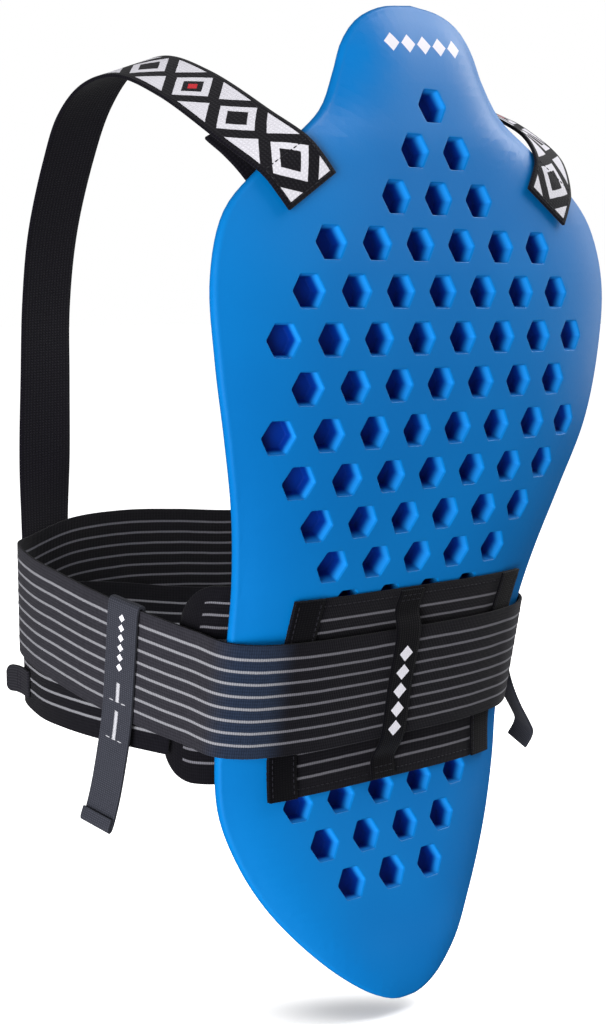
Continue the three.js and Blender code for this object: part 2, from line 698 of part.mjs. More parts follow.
addPiece('connector_strap_right', mirrored(connectorGeometry(CONNECTOR_RIGHT, CONNECTOR_RIGHT_Y)),
  CONNECTOR_GREY, 0.9);

export default group;
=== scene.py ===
"""Back protector: a blue foam pad with hexagonal pockets, worn on a striped belt and two webbing straps."""

import math
from bisect import bisect_left
from functools import lru_cache

import bmesh
import bpy
from mathutils import Matrix, Vector


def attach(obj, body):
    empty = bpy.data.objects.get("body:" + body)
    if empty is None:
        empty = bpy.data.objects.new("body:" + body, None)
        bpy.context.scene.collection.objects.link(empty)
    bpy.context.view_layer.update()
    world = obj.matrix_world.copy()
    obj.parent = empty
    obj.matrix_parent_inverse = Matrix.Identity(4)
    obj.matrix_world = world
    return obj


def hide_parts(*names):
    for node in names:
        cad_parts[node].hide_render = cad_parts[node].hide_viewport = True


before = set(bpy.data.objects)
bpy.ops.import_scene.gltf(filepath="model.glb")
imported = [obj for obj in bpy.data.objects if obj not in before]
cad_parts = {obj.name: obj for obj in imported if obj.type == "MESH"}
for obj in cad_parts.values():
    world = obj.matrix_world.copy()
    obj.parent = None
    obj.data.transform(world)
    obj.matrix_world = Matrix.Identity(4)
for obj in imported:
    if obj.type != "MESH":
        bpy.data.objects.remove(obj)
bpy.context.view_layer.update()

# Shapes are worked out in millimetres, in the part's frame, and scaled to metres as pieces are made.
MM = 0.001

# Pad sections from the top of the neck tab to the tip of the tail: height, half the width, the outer
# face's Y at the centre line and at the rim, and the foam's thickness at the centre line
PAD_SECTIONS = [
    (255, 0, -8, -8, 5.5),
    (252.5, 18, -9.5, -7.5, 7),
    (246, 32, -13, -7, 9),
    (235, 41.5, -17.5, -7, 11.5),
    (220, 48, -21.3, -8.5, 14),
    (203, 58, -24.3, -12.5, 16.5),
    (188, 77, -26.5, -17.6, 18),
    (172, 99.5, -28, -19.3, 19),
    (152, 119, -30, -19.9, 20),
    (122, 127.5, -32.7, -21.8, 20),
    (86, 125.2, -32.9, -22, 20),
    (50, 118.5, -29.9, -19.5, 20),
    (15, 109, -23.6, -11, 20),
    (-20, 101.5, -14.2, -0.3, 20),
    (-50, 98, -3.3, 8.5, 20),
    (-82, 96.6, 8, 15.9, 20),
    (-112, 96.2, 12, 21.5, 20),
    (-140, 94, 10, 21.7, 20),
    (-166, 85.5, 4.8, 17.4, 18.5),
    (-188, 73.8, -0.5, 11.6, 16),
    (-207, 59.5, -5.3, 4.3, 13),
    (-223.5, 43.8, -10.5, -3.8, 10.5),
    (-236, 28, -13, -8.8, 8),
    (-242.6, 16.3, -13, -11, 6.8),
    (-245.8, 7.3, -12.7, -12, 5.8),
    (-246.3, 0, -12.3, -12.3, 5.5),
]
# The rim, the powers that shape the faces from the centre line to the rim, and the mesh's steps. The inner
# face is laid flat on its own plane before both faces are bent into shape.
RIM_THICKNESS = 5
RIM_ROUND = 2.5
RIM_STEPS = 8
FACE_POWER = 4
FOAM_POWER = 3
OUTLINE_STEPS = 120
PAD_SAMPLES = 1500
FACE_GRID = 5
GRID_WELD = 0.05
INNER_PLANE = 100

# Blind hexagonal pockets, in rows a step apart along the face. The plain rows are under the lumbar panel.
POCKET_COUNTS = [1, 2, 3, 6, 7, 8, 7, 8, 7, 6, 5, 4, 0, 0, 0, 0, 5, 4, 3]
POCKET_FIRST_Z = 206
POCKET_ROW_STEP = 22.15
POCKET_PLAIN_STEP = 21.45
POCKET_PITCH = 27
POCKET_SIDES = 6
POCKET_RADIUS = 9.4
POCKET_REACH = 1.1 * POCKET_RADIUS
POCKET_CORNER = 0.9
POCKET_CORNER_STEPS = 3
POCKET_DEPTH_SHARE = 0.55
# Rings down a pocket's wall: the share of the rim's radius, the share of the depth, and a drop in mm
POCKET_RINGS = [
    (0.975, 0, 0.1), (0.952, 0, 0.4), (0.94, 0, 1), (0.85, 0.5, 0), (0.77, 1, -0.9), (0.73, 1, -0.25),
    (0.66, 1, 0),
]

# Cloth walls and the gaps between them
GAP = 0.4
PAD_GAP = 0.55
PANEL_THICKNESS = 1.2
BINDING_THICKNESS = 0.9
BELT_THICKNESS = 1.8
STRAP_THICKNESS = 1.8
KIDNEY_THICKNESS = 2
BINDING_LIFT = PAD_GAP + PANEL_THICKNESS + GAP
BELT_LIFT = BINDING_LIFT + BINDING_THICKNESS + GAP

# A wall's rounded edges, the distance at which points are joined, and a guard against dividing by zero
EDGE_ROUND = 0.28
EDGE_SEGMENTS = 2
EDGE_ANGLE = math.radians(50)
WELD = 0.01
TINY = 1e-6

# Steps along and across each cloth's mesh
PANEL_STEPS = (60, 92)
BINDING_STEPS = (50, 8)
KEEPER_STEPS = (70, 8)
BELT_STEPS = (360, 54)
CLOSURE_STEPS = (150, 54)
PULL_TAB_STEPS = (24, 12)
KIDNEY_STEPS = (110, 60)
STRAP_STEPS = (240, 16)
UNDER_TAB_STEPS = (40, 12)
CONNECTOR_STEPS = (170, 10)

OUTER_SIDE = Vector((0, -1, 0))
WEARER_SIDE = Vector((0, 1, 0))
LEFT_SIDE = Vector((-1, 0, 0))

# Elastic: raised stripes across its height, with their soft edge in shares of half their width, and its ribs
STRIPE_PITCH = 6.45
STRIPE_HALF_WIDTH = 0.7
STRIPE_EDGE = (0.5, 1.2)
STRIPE_RELIEF = 0.2
STRIPE_DRIFT = 0.5
STRIPE_SPARE = 0.01
RIB_PITCH = 1.1
WEFT_PITCH = 1.65

# Lumbar panel, its side tapes and the centre strip over the belt
PANEL_LEFT = -72
PANEL_RIGHT = 82
PANEL_TOP = -29
PANEL_BOTTOM = -134
PANEL_STRIPE_MARGIN = 9.6
PANEL_STRIPE_INSET = 4
BINDING_WIDTH = 16
KEEPER_WIDTH = 16
KEEPER_UPPER_RAMP = 9
KEEPER_LOWER_RAMP = 13
KEEPER_INSET = 1

# Waist belt: points of its inner face beyond the pad's rim on the wearer's right, mirrored to the left, and
# points of its front
BELT_HEIGHT = 60
BELT_LEAN_AT_PAD = 0.21
BELT_UPRIGHT_Y = 170
BELT_RISE = 0.178
BELT_TOP_AT_PAD = -48
BELT_REFERENCE_Y = 8
BELT_STRIPE_MARGIN = 7.4
BELT_PAD_X = [0, 25, 50, 72, 88]
# x, y and the top edge's height over the steady rise
BELT_SIDE = [
    (99.6, 9, 0), (104, 25, 0), (110, 45, 0), (116, 70, 0), (120.5, 98, 0), (122.8, 126, 0),
    (122.2, 155, -1), (117.5, 178, -0.5), (104, 190, -1.5),
]
BELT_FRONT = [
    (75, 195.2, -1.5), (38, 197.5, -0.5), (0, 198.5, 3), (-38, 198, 5.5), (-75, 195.5, 4.5),
]
# The shares of the loop between which its left side lies, and the steps of a search there
BELT_LEFT_SPAN = (0.52, 0.9)
SEARCH_STEPS = 40
# Where the belt's painted light changes: how far past their edges the panel and the foam under the belt
# reach, and the soft change there
PAINTED_LIGHT_PANEL_MARGIN = 2
PAINTED_LIGHT_FOAM_MARGIN = 4
PAINTED_LIGHT_SOFT = 8

# The closing end inside the belt, from a share of the way round to the wearer's left, its drop below the
# belt's top edge at even steps from there, and its pull tab
CLOSURE_FRONT_SHARE = 0.44
CLOSURE_BACK_Y = 37
CLOSURE_DROPS = [48, 47, 40, 30, 26, 18, 10]
CLOSURE_STRIPE_MARGIN = 11
PULL_TAB_LENGTH = 24
PULL_TAB_HEIGHT = 15
PULL_TAB_BACK_Y = 163
PULL_TAB_DROP = 6
PULL_TAB_FLARE = 3
PULL_TAB_SAG = 5
PULL_TAB_CORNER = 5
PULL_TAB_ROUNDING = 0.9

# Kidney panel behind the pad: where it lies on the pad, and its wings as x and the way forward
KIDNEY_TOP = -22
KIDNEY_BOTTOM = -125
KIDNEY_CORNER = 20
KIDNEY_ROUNDING = 0.96
KIDNEY_STRIPE_MARGIN = 11
KIDNEY_END_MARGIN = 14
KIDNEY_PAD_X = [0, 18, 36, 54, 70, 82]
KIDNEY_WING = [(92, 2.5), (98.5, 9), (102, 18), (103.5, 25), (104.2, 30)]

# Left shoulder strap: its places on the pad as x and z, then its free run as a place and the direction of
# its width. The right strap is its mirror image, but lies flatter over the shoulder.
STRAP_WIDTH = 32
STRAP_PAD_LIFT = 0.9
STRAP_PAD_ACROSS = (0.84, 0, 0.54)
STRAP_ON_PAD = {
    "left": [(-77, 162), (-82, 169.5), (-87, 177)],
    "right": [(-74.5, 160.5), (-79.5, 168), (-84.5, 175.5)],
}
STRAP_SHOULDER = {
    "left": [
        ((-95, -3, 191), (0.87, 0, 0.49)),
        ((-101, 38, 214), (0.91, 0, 0.41)),
    ],
    "right": [
        ((-92, -9, 191.2), (0.92, 0, 0.38)),
        ((-97.5, 20, 206.8), (0.97, 0, 0.24)),
        ((-101.5, 45, 217.5), (0.97, 0, 0.25)),
    ],
}
STRAP_ROUTE = [
    ((-104, 71, 225), (0.93, 0, 0.36)),
    ((-105, 99, 222), (0.95, 0, 0.3)),
    ((-105, 122, 208), (0.97, 0, 0.22)),
    ((-103, 141, 187), (0.98, 0.09, 0.12)),
    ((-100, 165, 149), (0.98, 0.13, 0.05)),
    ((-97.5, 178, 111), (0.98, 0.15, 0)),
    ((-96, 183.5, 70), (0.99, 0.09, 0)),
    ((-94.5, 188.5, 30), (1, 0.03, 0)),
    ((-91.5, 195.1, -4), (0.99, 0.12, 0)),
    ((-91.5, 195.65, -34), (0.98, 0.18, 0)),
    ((-91.5, 195.65, -64), (0.98, 0.18, 0)),
]

# The strap's second layer, from its underside to behind the pad's rim
UNDER_TAB_WIDTH = 30
UNDER_TAB_LIFT = 1.4
UNDER_TAB_ROUTE = [(-96.6, 7.8, 194.4), (-94, -2, 187), (-90, -8.6, 179)]
UNDER_TAB_ON_PAD = [(-84, 170), (-77, 160)]

# Connector straps over the belt: the way out from the belt's inner face and the height over its top edge,
# down to the end, which is folded back on itself
CONNECTOR_WIDTH = 21
CONNECTOR_THICKNESS = 1.4
CONNECTOR_LEFT_Y = 70
CONNECTOR_RIGHT_Y = 27
CONNECTOR_LEFT = [
    (-1.2, -9), (-1.2, -0.5), (-0.5, 1.4), (2.3, 1.4), (3, -0.5), (3, -30), (3.1, -61), (5, -80),
    (8.3, -101.5), (12.2, -115.2), (13.2, -115.9), (13.8, -114.8), (12.2, -109),
]
CONNECTOR_RIGHT = [
    (-1.6, -9), (-1.6, -0.5), (-0.7, 1.5), (2.7, 1.5), (3.5, -0.5), (3.6, -28), (5.5, -43), (11, -57),
    (18.5, -70), (28, -83.5), (30.6, -88), (30.4, -91.8), (27.6, -98.5),
]
# The bar tacks' start and end along them
CONNECTOR_TACKS = [(56, 66), (71, 86)]

# Stitching: its stitches, and the seams' distances from edges and ends
STITCH_PITCH = 3
STITCH_SHARE = 0.78
STITCH_RADIUS = 0.32
STITCH_SEGMENTS = (8, 6)
TACK_STEP = 0.4
TACK_HALF_WIDTH = 1.8
TACK_PITCH = 4
TACK_END_INSET = 4
TAPE_SEAM_INSET = 2
PANEL_SEAM_INSET = 4
KEEPER_SEAM_INSET = 1.5
KEEPER_SEAMS = (3, 6)
PULL_TAB_SEAMS = (9, 12)
PULL_TAB_PITCH = 2.2
STRAP_SEAM_END = 20

# Prints of plain diamonds in a row: where they start, their count, their pitch and half their size
TAB_PRINT = (-25, 5, 10, 4.4)
TAB_PRINT_Z = 235
TAB_PRINT_FRONT = -9
KEEPER_PRINT = (30, 5, 10.4, 4.4)
CONNECTOR_PRINT = (19, 6, 5.2, 2.1)

# Print on the straps: cells of a diamond ring with corner triangles, and one red dot
PRINT_PERIOD = 34
PRINT_CELLS = 5
PRINT_MARGIN = 2.6
PRINT_RING = (6.8, 12)
PRINT_CORNER = 19.8
PRINT_SOFT = 0.2
PRINT_DOT = 3
PRINT_DOT_CELL = 2

# Camera, in the photograph's frame of 606 by 1024 pixels
CAMERA_PLACE = Vector((-0.53685, -0.6002, 0.1131))
CAMERA_YAW = math.radians(38.455)
CAMERA_PITCH = math.radians(7.488)
FOCAL_PIXELS = 1600
IMAGE_HEIGHT = 1024
SENSOR = 36

# Light: each soft box's place, power and whether it shows in the highlights. The floor's bounced light comes
# through the floor, which casts no shadow.
ROOM_FILL = 0.2
SOFTBOX_SIZE = (1, 1.3)
SOFTBOXES = [
    ("left_box", (-1.6, -0.6, 0.05), 34, False),
    ("floor_bounce", (-1.25, -0.85, -0.7), 20, False),
    ("right_box", (1.65, -0.05, 0.45), 10, True),
    ("top_box", (0.95, -0.3, 1.2), 25, True),
]
# The floor's height and half its size. It glows, to meet the white surroundings, but not in a long shade
# under the tail's tip: the shade's middle in millimetres, its turn, how much longer it is than wide, and two
# distances across it with their glow
FLOOR_Z = -0.2535
FLOOR_HALF = 20
SHADE_PLACE = (-18, 1)
SHADE_TURN = math.radians(-38)
SHADE_STRETCH = 2.8
FLOOR_GLOW = [(2, 0.2), (32, 0.95)]


class Curve:
    """Catmull-Rom curve through points, uniform or centripetal, open or closed."""

    def __init__(self, points, centripetal=False, closed=False):
        self.points = [Vector(p) for p in points]
        self.power = 0.5 if centripetal else 0.0
        self.closed = closed
        self.spans = len(self.points) - (0 if closed else 1)
        self.lengths = None

    def corner(self, k):
        count = len(self.points)
        if self.closed:
            return self.points[k % count]
        if k < 0:
            return 2 * self.points[0] - self.points[1]
        if k >= count:
            return 2 * self.points[-1] - self.points[-2]
        return self.points[k]

    def point(self, t):
        place = t * self.spans
        k = min(int(place), self.spans - 1)
        w = place - k
        p0, p1, p2, p3 = (self.corner(k + i) for i in (-1, 0, 1, 2))
        d0, d1, d2 = (max((b - a).length, TINY) ** self.power for a, b in ((p0, p1), (p1, p2), (p2, p3)))
        start = d1 * ((p1 - p0) / d0 - (p2 - p0) / (d0 + d1) + (p2 - p1) / d1)
        end = d1 * ((p2 - p1) / d1 - (p3 - p1) / (d1 + d2) + (p3 - p2) / d2)
        rise = p2 - p1
        return p1 + w * (start + w * (3 * rise - 2 * start - end + w * (start + end - 2 * rise)))

    def measure(self, steps_per_span=40):
        steps = self.spans * steps_per_span
        self.lengths = [0.0]
        before = self.point(0)
        for i in range(1, steps + 1):
            here = self.point(i / steps)
            self.lengths.append(self.lengths[-1] + (here - before).length)
            before = here

    @property
    def length(self):
        if self.lengths is None:
            self.measure()
        return self.lengths[-1]

    def along(self, share):
        """The curve's parameter at a share of its length."""
        target = share * self.length
        i = min(max(bisect_left(self.lengths, target), 1), len(self.lengths) - 1)
        low, high = self.lengths[i - 1], self.lengths[i]
        return (i - 1 + (target - low) / (high - low)) / (len(self.lengths) - 1)

    def at(self, share):
        return self.point(self.along(share))

    def direction(self, share, step=1e-3):
        low, high = share - step, share + step
        if self.closed:
            low, high = low % 1, high % 1
        else:
            low, high = max(low, 0), min(high, 1)
        return (self.at(high) - self.at(low)).normalized()


def lerp(a, b, share):
    return a + (b - a) * share


def smoothstep(value, low, high):
    share = min(max((value - low) / (high - low), 0), 1)
    return share * share * (3 - 2 * share)


# The pad's surfaces
pad_curve = Curve(PAD_SECTIONS)
pad_table = sorted(tuple(pad_curve.point(i / PAD_SAMPLES)) for i in range(PAD_SAMPLES + 1))
pad_heights = [row[0] for row in pad_table]


def pad_section(z):
    i = min(max(bisect_left(pad_heights, z), 1), len(pad_table) - 1)
    low, high = pad_table[i - 1], pad_table[i]
    share = min(max((z - low[0]) / max(high[0] - low[0], TINY), 0), 1)
    return [lerp(a, b, share) for a, b in zip(low, high)]


def pad_faces(x, z):
    _, half, face, edge, thick = pad_section(z)
    u = min(1, abs(x) / max(half, TINY))
    outer = face + (edge - face) * u ** FACE_POWER
    return outer, outer + RIM_THICKNESS + (thick - RIM_THICKNESS) * (1 - u ** FOAM_POWER)


def pad_outer(x, z):
    return pad_faces(x, z)[0]


def pad_inner(x, z):
    return pad_faces(x, z)[1]


def pad_normal(x, z, step=1):
    """Unit normal of the outer face, pointing away from the wearer."""
    slope_x = (pad_outer(x + step, z) - pad_outer(x - step, z)) / (2 * step)
    slope_z = (pad_outer(x, z + step) - pad_outer(x, z - step)) / (2 * step)
    return Vector((slope_x, -1, slope_z)).normalized()


def on_pad(x, z, lift=0):
    return Vector((x, pad_outer(x, z) - lift, z))


def pocket_centres():
    centres = []
    z = POCKET_FIRST_Z
    for count in POCKET_COUNTS:
        centres += [((k - (count - 1) / 2) * POCKET_PITCH, z) for k in range(count)]
        step = POCKET_ROW_STEP if count else POCKET_PLAIN_STEP
        middle = z - step / 2
        slope = (pad_outer(0, middle + 1) - pad_outer(0, middle - 1)) / 2
        z -= step / math.hypot(1, slope)
    return centres


# The belt's loop
def belt_top(y):
    return BELT_TOP_AT_PAD + BELT_RISE * (y - BELT_REFERENCE_Y)


def belt_up(y):
    lean = BELT_LEAN_AT_PAD * (1 - smoothstep(y, BELT_REFERENCE_Y, BELT_UPRIGHT_Y))
    return Vector((0, -lean, 1)).normalized()


def belt_curve():
    right = []
    for x in BELT_PAD_X:
        y = pad_outer(x, BELT_TOP_AT_PAD) - BELT_LIFT
        right.append(Vector((x, y, belt_top(y))))
    right += [Vector((x, y, belt_top(y) + over)) for x, y, over in BELT_SIDE]
    front = [Vector((x, y, belt_top(y) + over)) for x, y, over in BELT_FRONT]
    left = [Vector((-p.x, p.y, p.z)) for p in reversed(right[1:])]
    return Curve(right + front + left, centripetal=True, closed=True)


belt = belt_curve()


@lru_cache(maxsize=None)
def belt_frame(share):
    """A place on the top edge, and the directions out of the loop, up the belt and along it."""
    point = belt.at(share % 1)
    run = belt.direction(share % 1)
    rise = belt_up(point.y)
    return point, run.cross(rise).normalized(), rise, run


def belt_place(share, out, up):
    """A place near the belt: a share of the way round, out from its inner face and up from its top edge."""
    point, away, rise, _ = belt_frame(share)
    return point + away * out + rise * up


def belt_left_at(y):
    """The share of the loop at which its left side passes a given Y."""
    low, high = BELT_LEFT_SPAN
    for _ in range(SEARCH_STEPS):
        middle = (low + high) / 2
        if belt.at(middle).y > y:
            low = middle
        else:
            high = middle
    return low


# Making pieces
def make_object(name, bm, materials):
    mesh = bpy.data.meshes.new(name)
    bm.to_mesh(mesh)
    bm.free()
    for material in materials:
        mesh.materials.append(material)
    made = bpy.data.objects.new(name, mesh)
    bpy.context.scene.collection.objects.link(made)
    return made


def make_piece(name, bm, materials, node):
    for face in bm.faces:
        face.smooth = True
    bmesh.ops.scale(bm, vec=(MM, MM, MM), verts=bm.verts[:])
    piece = make_object(name, bm, materials)
    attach(piece, "root")
    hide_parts(node)
    return piece


class Sheet:
    """A cloth wall of a size along and across. A function puts its points in place from their shares of the
    two, and its thickness grows from there to the side that outward points to."""

    def __init__(self, size, thickness, place, outward):
        self.size = size
        self.thickness = thickness
        self.place = place
        self.side = 1
        if self.normal(0.5, 0.5).dot(outward) < 0:
            self.side = -1

    def normal(self, along, across, step=1e-3):
        run = self.place(min(along + step, 1), across) - self.place(max(along - step, 0), across)
        rise = self.place(along, min(across + step, 1)) - self.place(along, max(across - step, 0))
        return self.side * run.cross(rise).normalized()

    def outer(self, along, across):
        """A place on the outer face and its normal, from millimetres along and across."""
        shares = (along / self.size[0], across / self.size[1])
        normal = self.normal(*shares)
        return self.place(*shares) + normal * self.thickness, normal

    def mesh(self, steps):
        bm = bmesh.new()
        cloth = bm.loops.layers.uv.new("cloth")
        bmesh.ops.create_grid(bm, x_segments=steps[0], y_segments=steps[1], size=0.5)
        for face in bm.faces:
            for loop in face.loops:
                x, y, _ = loop.vert.co
                loop[cloth].uv = ((x + 0.5) * self.size[0] * MM, (y + 0.5) * self.size[1] * MM)
        for vert in bm.verts:
            vert.co = self.place(vert.co.x + 0.5, vert.co.y + 0.5)
        bmesh.ops.remove_doubles(bm, verts=bm.verts[:], dist=WELD)
        if self.side < 0:
            bmesh.ops.reverse_faces(bm, faces=bm.faces[:])
        return bm

    def piece(self, name, steps, materials, node, slot, held, rests_on):
        """The sheet as a wall with rounded edges. Its inner face has the last of the materials."""
        piece = make_piece(name, self.mesh(steps), materials, node)
        wall = piece.modifiers.new("wall", "SOLIDIFY")
        wall.thickness = self.thickness * MM
        wall.offset = 1
        wall.use_even_offset = True
        wall.material_offset = len(materials) - 1
        wall.material_offset_rim = len(materials) - 1
        edge = piece.modifiers.new("edge", "BEVEL")
        edge.width = self.thickness * EDGE_ROUND * MM
        edge.segments = EDGE_SEGMENTS
        edge.limit_method = "ANGLE"
        edge.angle_limit = EDGE_ANGLE
        length, width = self.size


def add_stitch(bm, start, end, normal):
    run = (end - start).normalized()
    turn = Matrix((run, normal.cross(run), normal)).transposed().to_4x4()
    half = (end - start).length * STITCH_SHARE / 2
    size = Matrix.Diagonal((half, STITCH_RADIUS, STITCH_RADIUS, 1))
    place = Matrix.Translation((start + end) / 2)
    around, ends = STITCH_SEGMENTS
    bmesh.ops.create_uvsphere(bm, u_segments=around, v_segments=ends, radius=1, matrix=place @ turn @ size)


def add_seam(bm, sheet, corners, pitch):
    """Stitches on a sheet's outer face, along lines between corners in millimetres along and across."""
    for start, end in zip(corners, corners[1:]):
        count = max(round(math.dist(start, end) / pitch), 1)
        shares = [i / count for i in range(count + 1)]
        places = [sheet.outer(lerp(start[0], end[0], s), lerp(start[1], end[1], s)) for s in shares]
        for (a, normal), (b, _) in zip(places, places[1:]):
            add_stitch(bm, a, b, normal)


def edge_seams(sheet, inset, short):
    """A seam along each edge of a sheet, an inset from it and short of the ends."""
    length, width = sheet.size
    return [(sheet, [(short, across), (length - short, across)]) for across in (inset, width - inset)]


def seams_across(sheet, places, inset):
    """Seams from edge to edge of a sheet, at places along it."""
    return [(sheet, [(along, inset), (along, sheet.size[1] - inset)]) for along in places]


def stitching(name, seams, material, node, pitch=STITCH_PITCH):
    bm = bmesh.new()
    for sheet, corners in seams:
        add_seam(bm, sheet, corners, pitch)
    make_piece(name, bm, [material], node)


def bar_tack(start, end, middle):
    """Corners of a close zigzag along a sheet."""
    count = round((end - start) / TACK_STEP)
    sides = (middle - TACK_HALF_WIDTH, middle + TACK_HALF_WIDTH)
    return [(lerp(start, end, i / count), sides[i % 2]) for i in range(count + 1)]


def stripe_relief(height, margin, full):
    """How far a stripe stands out at a height on an elastic of the given full height."""
    last = math.floor((full - 2 * margin) / STRIPE_PITCH + STRIPE_SPARE)
    nearest = min(max(round((height - margin) / STRIPE_PITCH), 0), last)
    off = (height - margin - nearest * STRIPE_PITCH) / STRIPE_HALF_WIDTH
    return STRIPE_RELIEF * math.exp(-off * off)


def corner_trim(from_end, radius, rounding=1):
    """How far a rounded corner has drawn the edge in at a distance from the end."""
    inside = max(0, 1 - from_end / radius)
    return radius * (1 - math.sqrt(1 - rounding * inside * inside))


# Foam pad
def pad_outline():
    """The flat face's outline, inside the rim's rounding."""
    side = Curve([(half, 0, z) for z, half, *_ in PAD_SECTIONS])
    right = [side.at(i / OUTLINE_STEPS) for i in range(OUTLINE_STEPS + 1)]
    loop = right + [Vector((-p.x, 0, p.z)) for p in reversed(right[1:-1])]
    outline = []
    for i, point in enumerate(loop):
        run = loop[(i + 1) % len(loop)] - loop[i - 1]
        outward = Vector((-run.z, 0, run.x)).normalized()
        outline.append(point - outward * RIM_ROUND)
    return outline


def add_outline(bm, outline, y):
    loop = bmesh.ops.create_circle(bm, segments=len(outline), radius=1)["verts"]
    for vert, point in zip(loop, outline):
        vert.co = (point.x, y, point.z)
    return list({edge for vert in loop for edge in vert.link_edges})


def add_pocket_rims(bm, centres):
    upright = Matrix.Rotation(math.pi / 2, 4, "X") @ Matrix.Rotation(math.pi / POCKET_SIDES, 4, "Z")
    for x, z in centres:
        place = Matrix.Translation((x, 0, z)) @ upright
        circle = bmesh.ops.create_circle(bm, segments=POCKET_SIDES, radius=POCKET_RADIUS, matrix=place)
        bmesh.ops.bevel(bm, geom=circle["verts"], offset=POCKET_CORNER, offset_type="OFFSET",
                        segments=POCKET_CORNER_STEPS, profile=0.5, affect="VERTICES", material=-1)


def cut_grid(bm):
    """Cuts the flat faces into a grid fine enough to bend."""
    widest = math.ceil(max(half for _, half, *_ in PAD_SECTIONS))
    lowest, highest = math.floor(PAD_SECTIONS[-1][0]), math.ceil(PAD_SECTIONS[0][0])
    cuts = [((x, 0, 0), (1, 0, 0)) for x in range(-widest, widest, FACE_GRID)]
    cuts += [((0, 0, z), (0, 0, 1)) for z in range(lowest, highest, FACE_GRID)]
    for place, normal in cuts:
        geometry = bm.verts[:] + bm.edges[:] + bm.faces[:]
        bmesh.ops.bisect_plane(bm, geom=geometry, dist=GRID_WELD, plane_co=place, plane_no=normal)


def next_ring(bm, edges):
    """Extrudes a ring of edges. Returns the new edges, and each new vertex with the one that it came from."""
    made = bmesh.ops.extrude_edge_only(bm, edges=edges)["geom"]
    fresh = {part for part in made if isinstance(part, bmesh.types.BMVert)}
    came_from = {}
    for vert in fresh:
        came_from[vert] = next(v for e in vert.link_edges for v in e.verts if v not in fresh)
    ring = [e for e in made if isinstance(e, bmesh.types.BMEdge) and all(v in fresh for v in e.verts)]
    return ring, came_from


def sink_pocket(bm, edges, centre, depth_layer):
    """Carries a pocket's rim down its wall to its floor."""
    x, z = centre
    middle = on_pad(x, z)
    inward = -pad_normal(x, z)
    depth = POCKET_DEPTH_SHARE * (pad_inner(x, z) - pad_outer(x, z))
    rim = {vert: vert.co.copy() for edge in edges for vert in edge.verts}
    ring = edges
    for share, depth_share, drop in POCKET_RINGS:
        ring, came_from = next_ring(bm, ring)
        rim = {vert: rim[old] for vert, old in came_from.items()}
        down = depth_share * depth + drop
        for vert, start in rim.items():
            spoke = start - middle
            spoke -= inward * spoke.dot(inward)
            vert.co = start - spoke * (1 - share) + inward * down
            vert[depth_layer] = down / depth
    bmesh.ops.edgeloop_fill(bm, edges=ring)


def round_rim(bm, edges):
    """Carries the outer face's edge round to the inner face."""
    rim = {}
    for vert in {v for edge in edges for v in edge.verts}:
        ahead, behind = (e.other_vert(vert).co for e in vert.link_edges if e in edges)
        outward = Vector((ahead.z - behind.z, 0, behind.x - ahead.x)).normalized()
        if outward.dot(vert.co - vert.link_faces[0].calc_center_median()) < 0:
            outward.negate()
        rim[vert] = (vert.co.copy(), outward)
    ring = list(edges)
    for k in range(1, RIM_STEPS + 1):
        angle = math.pi * k / RIM_STEPS
        ring, came_from = next_ring(bm, ring)
        rim = {vert: rim[old] for vert, old in came_from.items()}
        for vert, (point, outward) in rim.items():
            x, _, z = point + outward * RIM_ROUND * math.sin(angle)
            through = (1 - math.cos(angle)) / 2
            vert.co = (x, lerp(pad_outer(point.x, point.z), pad_inner(point.x, point.z), through), z)


def pad_mesh():
    centres = pocket_centres()
    outline = pad_outline()
    bm = bmesh.new()
    depth_layer = bm.verts.layers.float.new("pocket_depth")
    add_outline(bm, outline, 0)
    add_pocket_rims(bm, centres)
    bmesh.ops.triangle_fill(bm, use_beauty=True, edges=bm.edges[:], normal=(0, -1, 0))
    inner = add_outline(bm, outline, INNER_PLANE)
    bmesh.ops.triangle_fill(bm, use_beauty=True, edges=inner, normal=(0, 1, 0))
    cut_grid(bm)
    flat = bm.verts[:]
    pockets = {centre: [] for centre in centres}
    rim = set()
    for edge in bm.edges:
        middle = (edge.verts[0].co + edge.verts[1].co) / 2
        if not edge.is_boundary or middle.y > INNER_PLANE / 2:
            continue
        spot = (middle.x, middle.z)
        near = min(centres, key=lambda centre: math.dist(centre, spot))
        if math.dist(near, spot) < POCKET_REACH:
            pockets[near].append(edge)
        else:
            rim.add(edge)
    round_rim(bm, rim)
    for vert in flat:
        surface = pad_inner if vert.co.y > INNER_PLANE / 2 else pad_outer
        vert.co.y = surface(vert.co.x, vert.co.z)
    for centre, edges in pockets.items():
        sink_pocket(bm, edges, centre, depth_layer)
    bmesh.ops.remove_doubles(bm, verts=bm.verts[:], dist=WELD)
    bmesh.ops.recalc_face_normals(bm, faces=bm.faces[:])
    return bm


# Materials
class Socket:
    """A value in a material's nodes. Sums of values add Math nodes."""

    def __init__(self, finish, output):
        self.finish = finish
        self.output = output

    def __add__(self, other):
        return self.finish.math("ADD", self, other)

    __radd__ = __add__

    def __sub__(self, other):
        return self.finish.math("SUBTRACT", self, other)

    def __rsub__(self, other):
        return self.finish.math("SUBTRACT", other, self)

    def __mul__(self, other):
        return self.finish.math("MULTIPLY", self, other)

    __rmul__ = __mul__

    def __mod__(self, other):
        return self.finish.math("FLOORED_MODULO", self, other)

    def __lt__(self, other):
        return self.finish.math("LESS_THAN", self, other)

    def __gt__(self, other):
        return self.finish.math("GREATER_THAN", self, other)

    def __abs__(self):
        return self.finish.math("ABSOLUTE", self)

    def wave(self, pitch):
        """A wave between 0 and 1 that repeats at a pitch."""
        return self.finish.math("SINE", self * (2 * math.pi / pitch)) * 0.5 + 0.5

    def between(self, low, high):
        """0 below low and 1 over high, with a smooth step between."""
        return self.finish.node("ShaderNodeMapRange", {"interpolation_type": "SMOOTHSTEP"},
                                {"Value": self, "From Min": low, "From Max": high})


